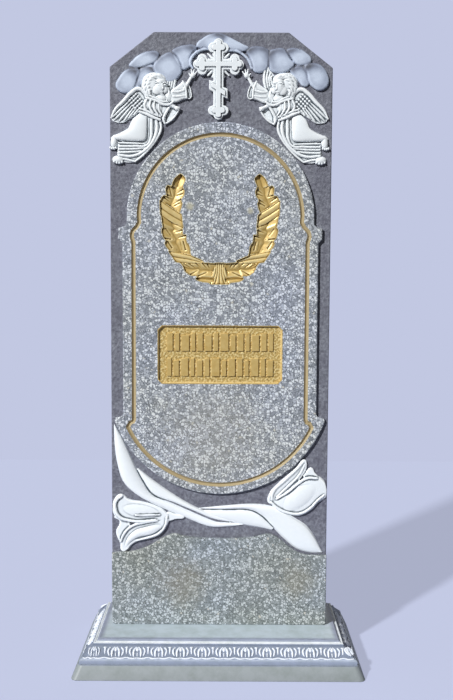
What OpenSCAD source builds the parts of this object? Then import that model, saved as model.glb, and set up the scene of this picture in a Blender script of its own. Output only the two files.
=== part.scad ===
// Memorial pillar: a cast terrazzo-concrete stele with painted relief, standing on its own moulded base.
// Millimetres. X runs across the front, Y runs from front to back, Z is up.
// The origin is the middle of the base's underside.

/* [Stele] */
// Width of the stele
stele_w = 450; // [360:1:560]
// Height of the stele above the base's platform
stele_h = 1221; // [1010:1:1480]
// Thickness of the slab behind its carving
slab_t = 48; // [35:1:90]
// Width that each top corner loses
corner_w = 89; // [40:1:120]
// Height that each top corner loses
corner_h = 69; // [30:1:110]
// Rounding of the two bottom corners
foot_r = 6; // [2:1:20]
// Distance of the carving's centre line from the slab's own
carving_x = -3; // [-8:1:8]

/* [Terrazzo panel] */
// How far the panel and the lower block stand out from the ground of the carving
panel_raise = 8; // [5:1:14]
// Bare ground above the panel's arch
panel_top_gap = 175; // [160:1:240]
// Ground left beside the panel's arch
arch_margin = 30; // [26:1:50]
// Ground left beside the panel's straight sides
side_margin = 26; // [20:1:45]
// Height of the panel's lowest point above the foot
panel_foot = 277; // [262:1:300]
// Distance of the gold line from the panel's edge
line_inset = 24; // [16:1:32]
// Width of the groove that holds the gold line
line_w = 9; // [5:1:12]
// Depth of that groove
line_depth = 3; // [1:0.5:5]
// Height of the lower block at the sides of the stele
block_side_h = 154; // [130:1:165]
// Height of the lower block at its middle
block_mid_h = 190; // [170:1:200]

/* [Wreath and plaque] */
// Width of the wreath
wreath_w = 243; // [180:1:270]
// Height of the wreath from its tie to its tips
wreath_h = 221; // [160:1:240]
// Depth of the wreath's and the plaque's sunk fields
sunk = 4; // [2:0.5:6]
// Width of the plaque
plaque_w = 254; // [180:1:280]
// Height of the plaque
plaque_h = 120; // [80:1:140]
// Height of the strokes in the two rows of the plaque
stroke_h = 37; // [20:1:44]

/* [Carving] */
// Height of the highest carving above the ground
relief_h = 15; // [10:1:20]
// Length of the cross from top to bottom
cross_h = 160; // [120:1:190]
// Width of the cross's arms over the outline
cross_bar = 21; // [14:1:26]
// Depth by which every carved form is rooted in the slab
root = 3; // [2:0.5:6]

/* [Base] */
// Height from the ground to the platform
base_h = 66; // [60:1:110]
// Ledge in front of and behind the stele, to the edge bead
ledge_front = 84; // [60:1:130]
// Ledge beside the stele, to the edge bead
ledge_side = 25; // [15:1:60]
// How far the foot slab reaches out past the edge bead
base_spread = 42; // [38:1:60]
// Height of the plain foot slab
foot_slab_h = 26; // [16:1:32]
// Width of one fan of the ornament with its dart
fan_pitch = 42; // [32:1:60]

/* [Hidden] */

terrazzo_grey = "#9ea19f";
base_blue = "#b4c0cc";

stele_t = slab_t + panel_raise;
ground_y = -stele_t / 2 + panel_raise;
// the figures and the leaves are drawn for a slab this wide, and follow the slab's own width
drawn_half = 225;
k = stele_w / 2 / drawn_half;

// ---- the panel's outline, from its driving sizes ----
arch_r = stele_w / 2 - arch_margin;
arch_v = stele_h - panel_top_gap - arch_r;
side_half = stele_w / 2 - side_margin;
ear_out = 8;
ear_h = 24;
shoulder_drop = 20;
bowl_r = side_half + 32;
bowl_v = panel_foot + bowl_r;
bowl_ear_half = side_half + 18;
arc_steps = 16;

function arc(cx, cy, r, a0, a1, n) =
    [for (i = [0 : n]) let (a = a0 + (a1 - a0) * i / n) [cx + r * cos(a), cy + r * sin(a)]];

function mirrored(pts) = [for (i = [len(pts) - 1 : -1 : 0]) [-pts[i][0], pts[i][1]]];

// right half of the panel from its top to its lowest point, set in by e
function panel_half(e) =
    let (
        r = arch_r - e,
        b = bowl_r - e,
        ear = side_half + ear_out - e,
        low = bowl_ear_half - e,
        side = side_half - e * 0.9,
        top = arch_v - shoulder_drop,
        low_a = -acos(low / b)
    )
    concat(
        [for (p = arc(0, arch_v, r, 88, 0, arc_steps / 2)) p],
        [[r - 1, top + 8], [r + 3, top]],
        [[ear, top - 2 - e * 0.3], [ear, top - ear_h], [side, top - ear_h - 5]],
        [[side, bowl_v - 62 + 0.3 * e], [side + 6, bowl_v - 70 + 0.2 * e]],
        [for (p = arc(0, bowl_v, b, low_a, -88, arc_steps / 2)) p]
    );
function panel_outline(e) = concat(panel_half(e), mirrored(panel_half(e)));

// ---- smooth curves through a few chosen points ----
function blend(a, b, c, d, t) =
    0.5 * (2 * b + (c - a) * t + (2 * a - 5 * b + 4 * c - d) * t * t + (3 * b - a - 3 * c + d) * t * t * t);

function open_curve(p, n) =
    let (m = len(p) - 1)
    concat(
        [for (i = [0 : m - 1]) for (j = [0 : n - 1])
            blend(p[max(i - 1, 0)], p[i], p[i + 1], p[min(i + 2, m)], j / n)],
        [p[m]]
    );

function middle(p) = [for (c = [0, 1]) (max([for (q = p) q[c]]) + min([for (q = p) q[c]])) / 2];
function raised(p, z) = [for (q = p) [q[0], q[1], z]];
function shrunk(p, c, s) = [for (q = p) c + (q - c) * s];
function turns_left(p) =
    let (m = len(p))
    0 < [for (i = [0 : m - 1]) p[i][0] * p[(i + 1) % m][1] - p[(i + 1) % m][0] * p[i][1]]
        * [for (i = [0 : m - 1]) 1];
function leftward(p) = turns_left(p) ? p : [for (i = [len(p) - 1 : -1 : 0]) p[i]];

// a closed skin over rings with equally many points, flat at both ends
module loft(rings) {
    m = len(rings[0]);
    last = len(rings) - 1;
    polyhedron(
        points = [for (r = rings) for (q = r) q],
        faces = concat(
            [[for (i = [0 : m - 1]) i]],
            [for (j = [0 : last - 1]) for (i = [0 : m - 1])
                [j * m + i, (j + 1) * m + i, (j + 1) * m + (i + 1) % m, j * m + (i + 1) % m]],
            [[for (i = [m - 1 : -1 : 0]) last * m + i]]
        ),
        convexity = 6
    );
}

// a soft rise over a closed outline: a wall, a rounded shoulder and a nearly flat crown
module mound(points, h, wall = 0.45) {
    p = leftward(points);
    c = middle(p);
    loft([raised(p, -root), raised(p, h * wall), raised(shrunk(p, c, 0.72), h)]);
}

// the same with a rounder shoulder, for the large soft forms
module soft_mound(points, h, wall = 0.45) {
    p = leftward(points);
    c = middle(p);
    loft([
        raised(p, -root),
        raised(p, h * wall),
        raised(shrunk(p, c, 0.84), h * 0.84),
        raised(shrunk(p, c, 0.5), h)
    ]);
}

// a rounded ridge along a line: each point is [x, y, half width]
module ridge(p, h) {
    m = len(p) - 1;
    function way(i) = let (d = p[min(i + 1, m)] - p[max(i - 1, 0)]) [d[0], d[1]] / norm([d[0], d[1]]);
    loft([for (i = [0 : m])
        let (d = way(i), s = [d[1], -d[0]], w = p[i][2], top = h * min(1, 0.45 + w / 8))
        [for (q = [[-1, -root], [-0.85, top * 0.6], [0, top], [0.85, top * 0.6], [1, -root]])
            [p[i][0] + s[0] * w * q[0], p[i][1] + s[1] * w * q[0], q[1]]]
    ]);
}

// a long leaf with a sharp spine: a tip, a belly and a stem
module leaf(from, to, half_w, h, bend = 0) {
    d = to - from;
    side = [d[1], -d[0]] / norm(d);
    steps = 3;
    function spine(t) = from + d * t + side * bend * sin(180 * t);
    loft([for (i = [0 : steps])
        let (t = i / steps, c = spine(t), w = half_w * (0.12 + sin(180 * pow(t, 0.8)) * 0.9))
        [for (q = [[-1, -1], [0, h], [1, -1]])
            [c[0] + side[0] * w * q[0], c[1] + side[1] * w * q[0], q[1]]]
    ]);
}

// rounded lump, used for curls, hands, toes and feather tips
module lump(x, y, r, h) {
    sides = 5;
    translate([x, y, 0]) hull() {
        translate([0, 0, -root]) cylinder(r = r, h = root + h * 0.4, $fn = sides);
        translate([0, 0, h * 0.4]) cylinder(r1 = r, r2 = r * 0.5, h = h * 0.6, $fn = sides);
    }
}

// ---- the slab, the panel and the lower block ----
module slab_outline() {
    hull() {
        translate([-stele_w / 2 + corner_w, stele_h - 1]) square([stele_w - 2 * corner_w, 1]);
        translate([-stele_w / 2, foot_r]) square([stele_w, stele_h - corner_h - foot_r]);
        for (s = [-1, 1]) translate([s * (stele_w / 2 - foot_r), foot_r]) circle(r = foot_r, $fn = 24);
    }
}

function block_top() =
    let (h = stele_w / 2)
    open_curve([[-h, block_side_h], [-h + 30, block_side_h + 1], [-h + 75, block_side_h + 14],
        [-h + 112, block_mid_h - 1], [-h + 150, block_mid_h], [0, block_mid_h], [h - 150, block_mid_h],
        [h - 112, block_mid_h - 2], [h - 80, block_side_h + 10], [h - 48, block_side_h - 3],
        [h, block_side_h - 5]], 2);

module lower_block() {
    intersection() {
        linear_extrude(panel_raise + root) polygon(concat([[-stele_w / 2, 0]], block_top(), [[stele_w / 2, 0]]));
        linear_extrude(panel_raise + root) slab_outline();
    }
}

module panel_plate() {
    soft = 2;
    loft([
        raised(leftward(panel_outline(0)), 0),
        raised(leftward(panel_outline(0)), root + panel_raise - soft),
        raised(leftward(panel_outline(soft)), root + panel_raise)
    ]);
}

// the V-shaped groove of the gold line, as the space that it cuts away
module line_groove() {
    a = leftward(panel_outline(line_inset - line_w / 2));
    b = leftward(panel_outline(line_inset + line_w / 2));
    mid = leftward(panel_outline(line_inset));
    m = len(a);
    rings = [raised(a, 1), raised(b, 1), raised(mid, -line_depth)];
    polyhedron(
        points = [for (r = rings) for (q = r) q],
        faces = [for (j = [0 : 2]) for (i = [0 : m - 1])
            [j * m + i, ((j + 1) % 3) * m + i, ((j + 1) % 3) * m + (i + 1) % m, j * m + (i + 1) % m]],
        convexity = 10
    );
}

// ---- wreath: two oak branches bound at the bottom, in a sunk field ----
wreath_v = arch_v + 89 - wreath_h;
leaf_rows = 5;
wreath_kx = wreath_w / 243;
wreath_ky = wreath_h / 221;

// one branch from the tie to its tip: [x, y, half width], y up from the wreath's lowest point
branch_line = open_curve([for (q = [[0, 21, 20], [27, 25, 19], [56, 38, 21], [82, 68, 22], [94, 108, 21],
    [100, 148, 21], [91, 182, 15], [80, 210, 9]])
    [q[0] * wreath_kx, wreath_v + q[1] * wreath_ky, q[2] * min(wreath_kx, wreath_ky)]], 2);

function flat2(q) = [q[0], q[1]];
function branch_way(i) =
    let (m = len(branch_line) - 1, d = flat2(branch_line[min(i + 1, m)]) - flat2(branch_line[max(i - 1, 0)]))
    i == 0 ? [1, 0] : d / norm(d);
function branch_edge(side) = [for (i = [0 : len(branch_line) - 1])
    let (q = branch_line[i], d = branch_way(i)) flat2(q) + side * q[2] * [d[1], -d[0]]];

module wreath_field() {
    inner = branch_edge(-1);
    half = concat(branch_edge(1), [for (i = [len(inner) - 1 : -1 : 0]) inner[i]]);
    translate([0, 0, -sunk]) linear_extrude(sunk + 1) polygon(concat(half, mirrored(half)));
}

module wreath_branch() {
    last = len(branch_line) - 1;
    for (i = [0 : leaf_rows - 1], s = [-1, 1]) {
        at = round(0.5 + (last - 2.5) * i / (leaf_rows - 1));
        q = branch_line[at];
        d = branch_way(at);
        n = s * [d[1], -d[0]];
        leaf(flat2(q) + n * 2, flat2(q) + d * 30 * wreath_ky + n * q[2] * 0.55, q[2] * 0.5, sunk - 0.2, s * 3);
    }
    ridge([for (i = [0 : 3 : last]) concat(flat2(branch_line[i]), [4])], sunk - 0.6);
}

module wreath() {
    for (m = [0, 1]) mirror([m, 0, 0]) wreath_branch();
    for (i = [-1.5 : 1 : 1.5])
        ridge([[i * 4, wreath_v + 40, 3], [i * 4, wreath_v + 24, 2.4], [i * 6, wreath_v + 3, 3.6]], sunk - 0.2);
}

// ---- plaque: a sunk field with two rows of plain strokes ----
plaque_v = panel_foot + 0.665 * (wreath_v - panel_foot);
plaque_clip = 8;
stroke_widths = [13, 30, 9, 26, 16, 34, 11, 22];
stroke_gap = 9;
stroke_rise = sunk - 1;

module plaque_outline() {
    w = plaque_w / 2;
    h = plaque_h / 2;
    polygon([[-w + plaque_clip, -h], [w - plaque_clip, -h], [w, -h + plaque_clip], [w, h - plaque_clip],
        [w - plaque_clip, h], [-w + plaque_clip, h], [-w, h - plaque_clip], [-w, -h + plaque_clip]]);
}

function sum_to(v, i) = i <= 0 ? 0 : v[i - 1] + sum_to(v, i - 1);

module stroke_row(widths) {
    n = len(widths);
    whole = sum_to(widths, n) + (n - 1) * stroke_gap;
    fit = (plaque_w - 36) / whole;
    for (i = [0 : n - 1])
        translate([(sum_to(widths, i) + i * stroke_gap - whole / 2) * fit, -stroke_h / 2, -root])
            linear_extrude(root + stroke_rise) square([widths[i] * fit, stroke_h]);
}

// ---- cross: trefoil ends, a slanted foot bar and a raised spine ----
cross_plate = relief_h * 0.55;
cross_spine = relief_h * 0.78;
cross_arm = cross_h * 0.318;
lobe_r = cross_bar * 0.44;

// one trefoil, its tip at distance reach from the middle of the cross
module trefoil(reach, r) {
    translate([reach - r, 0]) circle(r = r, $fn = 10);
    for (s = [-1, 1]) translate([reach - 2 * r - 0.5, s * (r + 2)]) circle(r = r, $fn = 10);
}

cross_foot = cross_h - cross_arm;
bar_ends = [[0, cross_arm], [90, cross_arm], [180, cross_arm], [-90, cross_foot]];

// the slanted foot bar, its left end up
module foot_bar(half, w) {
    y0 = -cross_h * 0.29;
    rise = half * 0.6;
    polygon([[-half, y0 + rise - w / 2], [half, y0 - rise - w / 2], [half, y0 - rise + w / 2],
        [-half, y0 + rise + w / 2]]);
}

module cross_outline() {
    for (b = bar_ends) rotate(b[0]) {
        translate([0, -cross_bar / 2]) square([b[1] - lobe_r, cross_bar]);
        trefoil(b[1], lobe_r);
    }
    foot_bar(cross_bar * 0.9, cross_bar * 0.95);
}

module cross_core() {
    w = cross_bar * 0.43;
    for (b = bar_ends) rotate(b[0]) {
        translate([0, -w / 2]) square([b[1] - lobe_r, w]);
        translate([b[1] - 2 * lobe_r, 0]) circle(r = lobe_r * 1.15, $fn = 8);
    }
    foot_bar(cross_bar * 0.68, w);
}

module cross() {
    translate([0, 0, -root]) linear_extrude(root + cross_plate) cross_outline();
    translate([0, 0, -root]) linear_extrude(root + cross_spine) cross_core();
    // short rays in the four corners
    translate([0, 0, -root]) linear_extrude(root + relief_h * 0.42)
        for (a = [0, 90, 180, 270], b = [32, 45, 58])
            rotate(a + b) polygon([[8, -3], [27, -0.6], [27, 0.6], [8, 3]]);
}

// ---- cherub, drawn to the right of the centre line, its feet at y = 0 and its face to the cross ----
face_c = [121, 151];

module cherub_wings() {
    mound([[157, 152], [182, 140], [212, 104], [219, 95], [202, 82], [187, 87], [162, 103], [147, 121]],
        relief_h * 0.42);
    ridge([[150, 140, 3], [159, 149, 4], [171, 147, 4.5], [199, 119, 4], [216, 97, 2.5]], relief_h * 0.66);
    for (i = [0 : 3])
        ridge([[168 + i * 4, 126 - i * 7, 2.5], [186 + i, 106 - i * 4, 3], [212 - i * 6, 93 - i * 2.5, 2.5]],
            relief_h * 0.55);
    for (i = [0 : 1], j = [0 : 2])
        lump(157 + i * 9 + j * 4, 134 + i * 6 - j * 7, 4.2, relief_h * 0.6);
    mound([[94, 197], [107, 180], [115, 168], [100, 153], [90, 172]], relief_h * 0.36);
}

module cherub_head() {
    // hair: a rim of curls round the far side and the crown
    for (i = [0 : 6]) let (a = -48 + 34 * i)
        lump(face_c[0] + 9 + 23 * cos(a), face_c[1] + 3 + 22 * sin(a), 8.4, relief_h * 0.72);
    soft_mound([[104, 156], [116, 170], [132, 170], [142, 156], [136, 136], [122, 130], [108, 138]], relief_h * 0.86);
    // brow and nose as one soft ridge, cheeks and chin as low lumps
    ridge([[110, 158, 2], [114, 152, 1.6], [113, 146, 2.2]], relief_h);
    lump(123, 144, 5, relief_h * 0.98);
}

module cherub_body() {
    soft_mound([[97, 128], [112, 133], [135, 132], [150, 122], [150, 104], [138, 90], [118, 92], [103, 110]],
        relief_h * 0.6);
    ridge([[98, 119, 2], [108, 117, 2.4], [121, 123, 2.4], [134, 130, 2.4], [147, 131, 2]], relief_h * 0.76);
    // raised far arm: a bell sleeve, a forearm and the hand at the cross
    mound([[101, 147], [86, 162], [69, 172], [60, 155], [59, 132], [76, 127], [94, 124], [103, 134]],
        relief_h * 0.5);
    ridge([[70, 138, 4], [61, 162, 4], [53, 180, 3]], relief_h * 0.64);
    for (i = [0 : 1]) lump(50 + i * 4, 189 - i * 6, 3.6, relief_h * 0.62);
    // near arm bent across the chest, its sleeve hanging
    mound([[116, 84], [106, 80], [92, 97], [80, 111], [90, 118], [104, 115], [112, 100]], relief_h * 0.55);
    ridge([[128, 118, 5], [112, 110, 5], [97, 108, 4.5], [84, 112, 4]], relief_h * 0.74);
    for (s = [0 : 1])
        ridge([[142 - 12 * s, 126 - s * 2, 3], [145 - 12 * s, 112, 3.4], [139 - 9 * s, 97, 2.6]], relief_h * 0.72);
    ridge([[158, 106, 3], [148, 98, 3.5], [134, 91, 3.5], [117, 92, 3]], relief_h * 0.72);
}

module cherub_robe() {
    mound([[118, 92], [117, 70], [128, 54], [148, 32], [172, 12], [203, 13], [206, 36], [190, 62], [160, 100]],
        relief_h * 0.36);
    soft_mound([[147, 98], [159, 103], [174, 90], [186, 68], [205, 67], [219, 52], [220, 40], [205, 40], [160, 40],
        [146, 46], [142, 82]], relief_h * 0.66, 0.6);
    for (f = [[[138, 92, 2.5], [140, 68, 3], [147, 46, 2]], [[127, 92, 3], [128, 70, 3.5], [146, 45, 2]],
        [[119, 90, 2], [119, 72, 2.5], [133, 52, 3], [152, 32, 2]]])
        ridge(f, relief_h * 0.62);
    for (i = [0 : 2])
        ridge([[151 + 6 * i, 38 - 8.8 * i, 2], [173, 33 - 8.6 * i, 3.4], [205, 33 - 8.4 * i, 3]],
            relief_h * 0.52);
    mound([[205, 50], [216, 56], [223, 44], [218, 34], [209, 34]], relief_h * 0.56);
    mound([[194, 14], [206, 21], [219, 16], [219, 6], [206, 0], [194, 4]], relief_h * 0.5);
    for (i = [0 : 2]) lump(201 + i * 6, 2 + pow(i - 1, 2) * 1.4, 3, relief_h * 0.46);
}

module cherub() {
    cherub_wings();
    cherub_body();
    cherub_robe();
    cherub_head();
}

// ---- clouds, drawn from the centre line, y up from the cherub's feet ----
cloud_h = relief_h * 0.36;
module clouds_left() {
    mound([[209, 146], [204, 168], [189, 187], [168, 187], [171, 166], [186, 143]], cloud_h);
    mound([[187, 189], [163, 214], [143, 222], [123, 214], [139, 193], [160, 188]], cloud_h * 0.9);
    mound([[169, 160], [158, 187], [138, 194], [128, 180], [146, 150]], cloud_h * 0.7);
    mound([[134, 190], [122, 212], [100, 218], [86, 203], [78, 180], [90, 165], [118, 170]], cloud_h);
    mound([[95, 218], [76, 231], [58, 232], [50, 222], [64, 196], [78, 186]], cloud_h);
    mound([[48, 227], [34, 246], [14, 255], [-4, 253], [16, 230]], cloud_h * 0.7);
}

module clouds_right() {
    mound([[211, 168], [207, 188], [188, 204], [166, 196], [172, 168], [190, 150], [204, 154]], cloud_h);
    mound([[183, 206], [163, 224], [140, 231], [124, 226], [138, 206], [160, 197]], cloud_h * 0.9);
    mound([[168, 158], [162, 190], [142, 196], [134, 180], [146, 160]], cloud_h * 0.7);
    mound([[143, 198], [130, 216], [116, 228], [94, 226], [94, 194], [114, 182], [136, 188]], cloud_h);
    mound([[93, 214], [86, 229], [56, 230], [48, 222], [64, 192], [74, 184], [90, 196]], cloud_h);
    mound([[3, 254], [24, 250], [44, 240], [53, 226], [36, 222], [16, 228]], cloud_h * 0.7);
}

module cloud_curl() {
    ridge([[57, 184, 3], [65, 198, 3.5], [60, 215, 3.5], [45, 225, 3.5], [28, 225, 3], [18, 222, 2]],
        relief_h * 0.5);
}

// ---- lilies and leaves, drawn from the centre line, y up from the stele's foot ----
module lily_left() {
    mound([[-213, 279], [-220, 262], [-206, 230], [-190, 226], [-130, 228], [-108, 232], [-112, 244],
        [-140, 262], [-170, 267], [-197, 270]], relief_h * 0.62);
    mound([[-188, 224], [-207, 206], [-208, 176], [-200, 158], [-184, 170], [-165, 182], [-125, 196],
        [-106, 222], [-130, 228]], relief_h * 0.52);
    mound([[-218, 228], [-213, 200], [-218, 194], [-207, 178], [-200, 206]], relief_h * 0.36);
    ridge([[-212, 262, 2.4], [-216, 244, 2.6], [-203, 228, 2.6], [-180, 225, 2.4], [-132, 227, 2]],
        relief_h * 0.74);
}

module lily_right() {
    mound([[105, 262], [108, 285], [135, 318], [158, 335], [176, 353], [180, 336], [160, 300], [124, 272]],
        relief_h * 0.5);
    mound([[182, 336], [198, 332], [206, 316], [190, 306]], relief_h * 0.4);
    mound([[118, 268], [150, 284], [178, 306], [200, 316], [216, 306], [222, 288], [205, 270], [188, 254],
        [160, 234], [136, 244]], relief_h * 0.62);
    ridge([[122, 262, 2], [150, 284, 2.4], [178, 307, 2.8], [202, 314, 2.4]], relief_h * 0.74);
    ridge([[124, 276, 1.6], [150, 304, 2], [170, 330, 2], [174, 348, 1.4]], relief_h * 0.6);
}

module long_leaves() {
    // left blade, its edge folded over towards the middle
    ridge([[-222, 421, 2], [-212, 370, 9], [-190, 318, 17], [-160, 285, 19], [-110, 254, 9], [-50, 228, 6],
        [0, 216, 4], [46, 215, 1.5]], relief_h * 0.6);
    ridge([[-166, 334, 2], [-146, 296, 12], [-100, 263, 9], [-50, 238, 7], [10, 219, 2]], relief_h * 0.5);
    // right blade crosses it and widens to its tip
    ridge([[-38, 249, 1.5], [20, 254, 3], [70, 253, 6], [110, 238, 16], [150, 206, 26], [190, 176, 22],
        [214, 156, 1.5]], relief_h * 0.6);
    ridge([[-34, 243, 1.5], [20, 236, 10], [70, 228, 15], [108, 212, 7]], relief_h * 0.48);
}

feet_v = stele_h - 262 * k;

// all that stands out from the ground, kept inside the slab's outline
module carving() {
    intersection() {
        translate([carving_x, 0, 0]) {
            translate([0, stele_h - 11.5 - cross_arm, 0]) cross();
            translate([0, feet_v, 0]) scale([k, k, 1]) {
                cherub();
                cloud_curl();
                clouds_right();
                mirror([1, 0, 0]) {
                    cherub();
                    cloud_curl();
                    clouds_left();
                }
            }
            scale([k, 1, 1]) {
                long_leaves();
                lily_left();
                lily_right();
            }
        }
        translate([0, 0, -root]) linear_extrude(root + relief_h * 1.1) slab_outline();
    }
}

module stele() {
    color(terrazzo_grey)
        translate([0, ground_y, base_h]) rotate([90, 0, 0]) {
            difference() {
                union() {
                    translate([0, 0, -slab_t]) linear_extrude(slab_t) slab_outline();
                    translate([carving_x, 0, -root]) panel_plate();
                    translate([0, 0, -root]) lower_block();
                }
                translate([carving_x, 0, panel_raise]) {
                    line_groove();
                    wreath_field();
                    translate([0, plaque_v, -sunk]) linear_extrude(sunk + 1) plaque_outline();
                }
            }
            translate([carving_x, 0, panel_raise - sunk]) {
                wreath();
                translate([0, plaque_v + plaque_h * 0.215, 0]) stroke_row(stroke_widths);
                translate([0, plaque_v - plaque_h * 0.215, 0])
                    stroke_row([for (i = [len(stroke_widths) - 1 : -1 : 0]) stroke_widths[i]]);
            }
            carving();
        }
}

// ---- base ----
bead_w = stele_w / 2 + ledge_side;
bead_d = stele_t / 2 + ledge_front;
bead_z = base_h - 4;
band_top = [4, bead_z - 6];
band_low = [24, foot_slab_h + 11];
band_a = atan2(band_top[1] - band_low[1], band_low[0] - band_top[0]);

// the moulding's profile: distance out from the bead, and height
profile = [
    [0, 0], [base_spread - 3, 0], [base_spread, 3], [base_spread - 11, foot_slab_h],
    [28, foot_slab_h + 1], [27, foot_slab_h + 8], [25.5, foot_slab_h + 10], band_low,
    band_top, [2, bead_z - 5], [2, bead_z - 1.5], [1, bead_z], [-1.5, bead_z], [-2.5, bead_z - 1.2],
    [-6, base_h - 1], [-8, base_h]
];

// the profile drawn on both sides of a middle line, at half width half
module profile_across(half) {
    right = [for (i = [1 : len(profile) - 1]) [half + profile[i][0], profile[i][1]]];
    polygon(concat(right, mirrored(right)));
}

// one petal of a fan, from its root to its tip
module petal(from, to, w) {
    d = to - from;
    n = [d[1], -d[0]] / norm(d);
    polygon(concat(
        [for (t = [0, 0.3, 0.65, 0.9]) from + d * t + n * w * (0.35 + 0.65 * sin(180 * min(1, t * 0.75)))],
        [to],
        [for (t = [0.9, 0.65, 0.3, 0]) from + d * t - n * w * (0.35 + 0.65 * sin(180 * min(1, t * 0.75)))]
    ));
}

fan_rise = 2;
// a fan of four petals round a bud, then a dart, drawn hanging down from y = 0
module fan() {
    linear_extrude(fan_rise + 1) {
        for (s = [-1, 1]) {
            petal([s * 2.5, -5], [s * 7.5, -21], 2);
            petal([s * 9, -3], [s * 13, -17], 1.7);
        }
        petal([0, -1], [0, -9], 2.4);
    }
}

module dart() {
    linear_extrude(fan_rise + 1)
        polygon([[-3.6, -1], [3.6, -1], [1.4, -8], [0.8, -15], [-0.8, -15], [-1.4, -8]]);
}

// the ornament along one side whose bead is length long and lies at distance out from the middle
module ornament(length, out) {
    n = floor(length / fan_pitch);
    pitch = length / n;
    translate([0, -out - band_top[0], band_top[1]]) rotate([band_a, 0, 0]) translate([0, 0, -1]) {
        for (i = [0 : n - 1]) translate([(i + 0.5) * pitch - length / 2, 0, 0]) fan();
        for (i = [0 : n]) translate([i * pitch - length / 2, 0, 0]) dart();
    }
}

module base() {
    color(base_blue) {
        intersection() {
            translate([-bead_w - base_spread, 0, 0]) rotate([90, 0, 90])
                linear_extrude(2 * (bead_w + base_spread)) profile_across(bead_d);
            translate([0, bead_d + base_spread, 0]) rotate([90, 0, 0])
                linear_extrude(2 * (bead_d + base_spread)) profile_across(bead_w);
        }
        for (a = [0, 180]) rotate(a) ornament(2 * bead_w, bead_d);
        for (a = [90, 270]) rotate(a) ornament(2 * bead_d, bead_w);
    }
}

stele();
base();
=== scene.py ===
"""A cast terrazzo-concrete memorial stele with painted relief, on its own moulded base.

Relief is drawn flat on a board, in millimetres: x to the right, y up and z out towards the viewer.
hang() then turns a finished drawing upright and sets it on the ground of the slab.
"""
import math
from contextlib import contextmanager

import bpy
import numpy as np
from mathutils import Matrix, Vector


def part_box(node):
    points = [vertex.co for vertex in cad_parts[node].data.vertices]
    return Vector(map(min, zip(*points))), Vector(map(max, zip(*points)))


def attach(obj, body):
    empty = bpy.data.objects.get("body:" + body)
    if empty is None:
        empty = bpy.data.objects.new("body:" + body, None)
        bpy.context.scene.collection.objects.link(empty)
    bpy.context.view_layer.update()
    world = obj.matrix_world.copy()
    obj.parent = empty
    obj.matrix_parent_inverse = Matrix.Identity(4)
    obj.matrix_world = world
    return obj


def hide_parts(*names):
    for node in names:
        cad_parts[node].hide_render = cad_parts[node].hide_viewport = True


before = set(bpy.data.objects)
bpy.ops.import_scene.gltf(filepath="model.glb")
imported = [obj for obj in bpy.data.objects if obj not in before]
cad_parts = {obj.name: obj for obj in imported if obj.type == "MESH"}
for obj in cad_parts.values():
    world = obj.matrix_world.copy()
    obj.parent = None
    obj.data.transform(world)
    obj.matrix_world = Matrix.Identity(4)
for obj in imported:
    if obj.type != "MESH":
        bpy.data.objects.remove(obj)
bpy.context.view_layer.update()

# ---- sizes that every piece shares, in millimetres, worked out from the CAD boxes ----
MM = 0.001
stele_low, stele_high = [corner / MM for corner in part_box("stele")]
base_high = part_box("base")[1] / MM

HALF = stele_high.x
TOP = stele_high.z
FOOT = stele_low.z
BACK = stele_high.y
SLAB = 48                      # thickness of the slab behind its relief
GROUND = BACK - SLAB           # the plane that the relief stands on
RAISE = 8                      # how far the terrazzo stands out from that plane
CENTRE = -3                    # the cross, cherubs and clouds stand a little to the left
CORNER_W, CORNER_H = 89, 69    # what each top corner loses
ROOT = 3                       # depth by which relief is rooted in the slab
FEET = TOP - 262               # the line on which both cherubs stand
SKIRT = 42                     # from the bead round the base's platform out to the foot's edge
LEDGE_X, LEDGE_Y = base_high.x - SKIRT, base_high.y - SKIRT    # half lengths of that bead

ARCH_R = HALF - 33.5           # the panel's arch, its straight sides and the bowl at its foot
ARCH_Y = TOP - 178.5 - ARCH_R
SIDE = HALF - 25
BOWL_R = SIDE + 31
BOWL_Y = FOOT + 279.5 + BOWL_R


# ---------------------------------------------------------------- the workbench
def only(*pieces):
    """selects these pieces alone; the first one is active"""
    bpy.ops.object.select_all(action="DESELECT")
    for piece in pieces:
        piece.select_set(True)
    bpy.context.view_layer.objects.active = pieces[0]


def modify(piece, kind, **settings):
    """adds a modifier and applies it at once"""
    only(piece)
    modifier = piece.modifiers.new(kind.title(), kind)
    for key, value in settings.items():
        setattr(modifier, key, value)
    bpy.ops.object.modifier_apply(modifier=modifier.name)
    return piece


def settle(*pieces):
    """puts each piece's place, turn and scale into its mesh"""
    only(*pieces)
    bpy.ops.object.transform_apply(location=True, rotation=True, scale=True)


def cut(piece, cutter, keep_cutter=False):
    modify(piece, "BOOLEAN", operation="DIFFERENCE", object=cutter, solver="MANIFOLD")
    if not keep_cutter:
        bpy.data.objects.remove(cutter)
    return piece


@contextmanager
def all_selected(piece):
    """edit mode, with the whole mesh selected"""
    only(piece)
    bpy.ops.object.mode_set(mode="EDIT")
    bpy.ops.mesh.select_all(action="SELECT")
    yield
    bpy.ops.object.mode_set(mode="OBJECT")


def weld(piece):
    """merges points that lie in one place and turns every face outwards"""
    with all_selected(piece):
        bpy.ops.mesh.remove_doubles(threshold=1e-6)
        bpy.ops.mesh.normals_make_consistent(inside=False)
    return piece


def saw(piece, point, outward):
    """cuts off what lies beyond a plane, given in metres, and closes the cut"""
    with all_selected(piece):
        bpy.ops.mesh.bisect(plane_co=point, plane_no=outward, clear_outer=True, use_fill=True)
    return piece


def as_mesh(curve):
    only(curve)
    bpy.ops.object.convert(target="MESH")
    return bpy.context.object


def join(pieces):
    only(*pieces)
    bpy.ops.object.join()
    return bpy.context.object


def copy_of(piece):
    twin = piece.copy()
    twin.data = piece.data.copy()
    bpy.context.scene.collection.objects.link(twin)
    return twin


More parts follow.
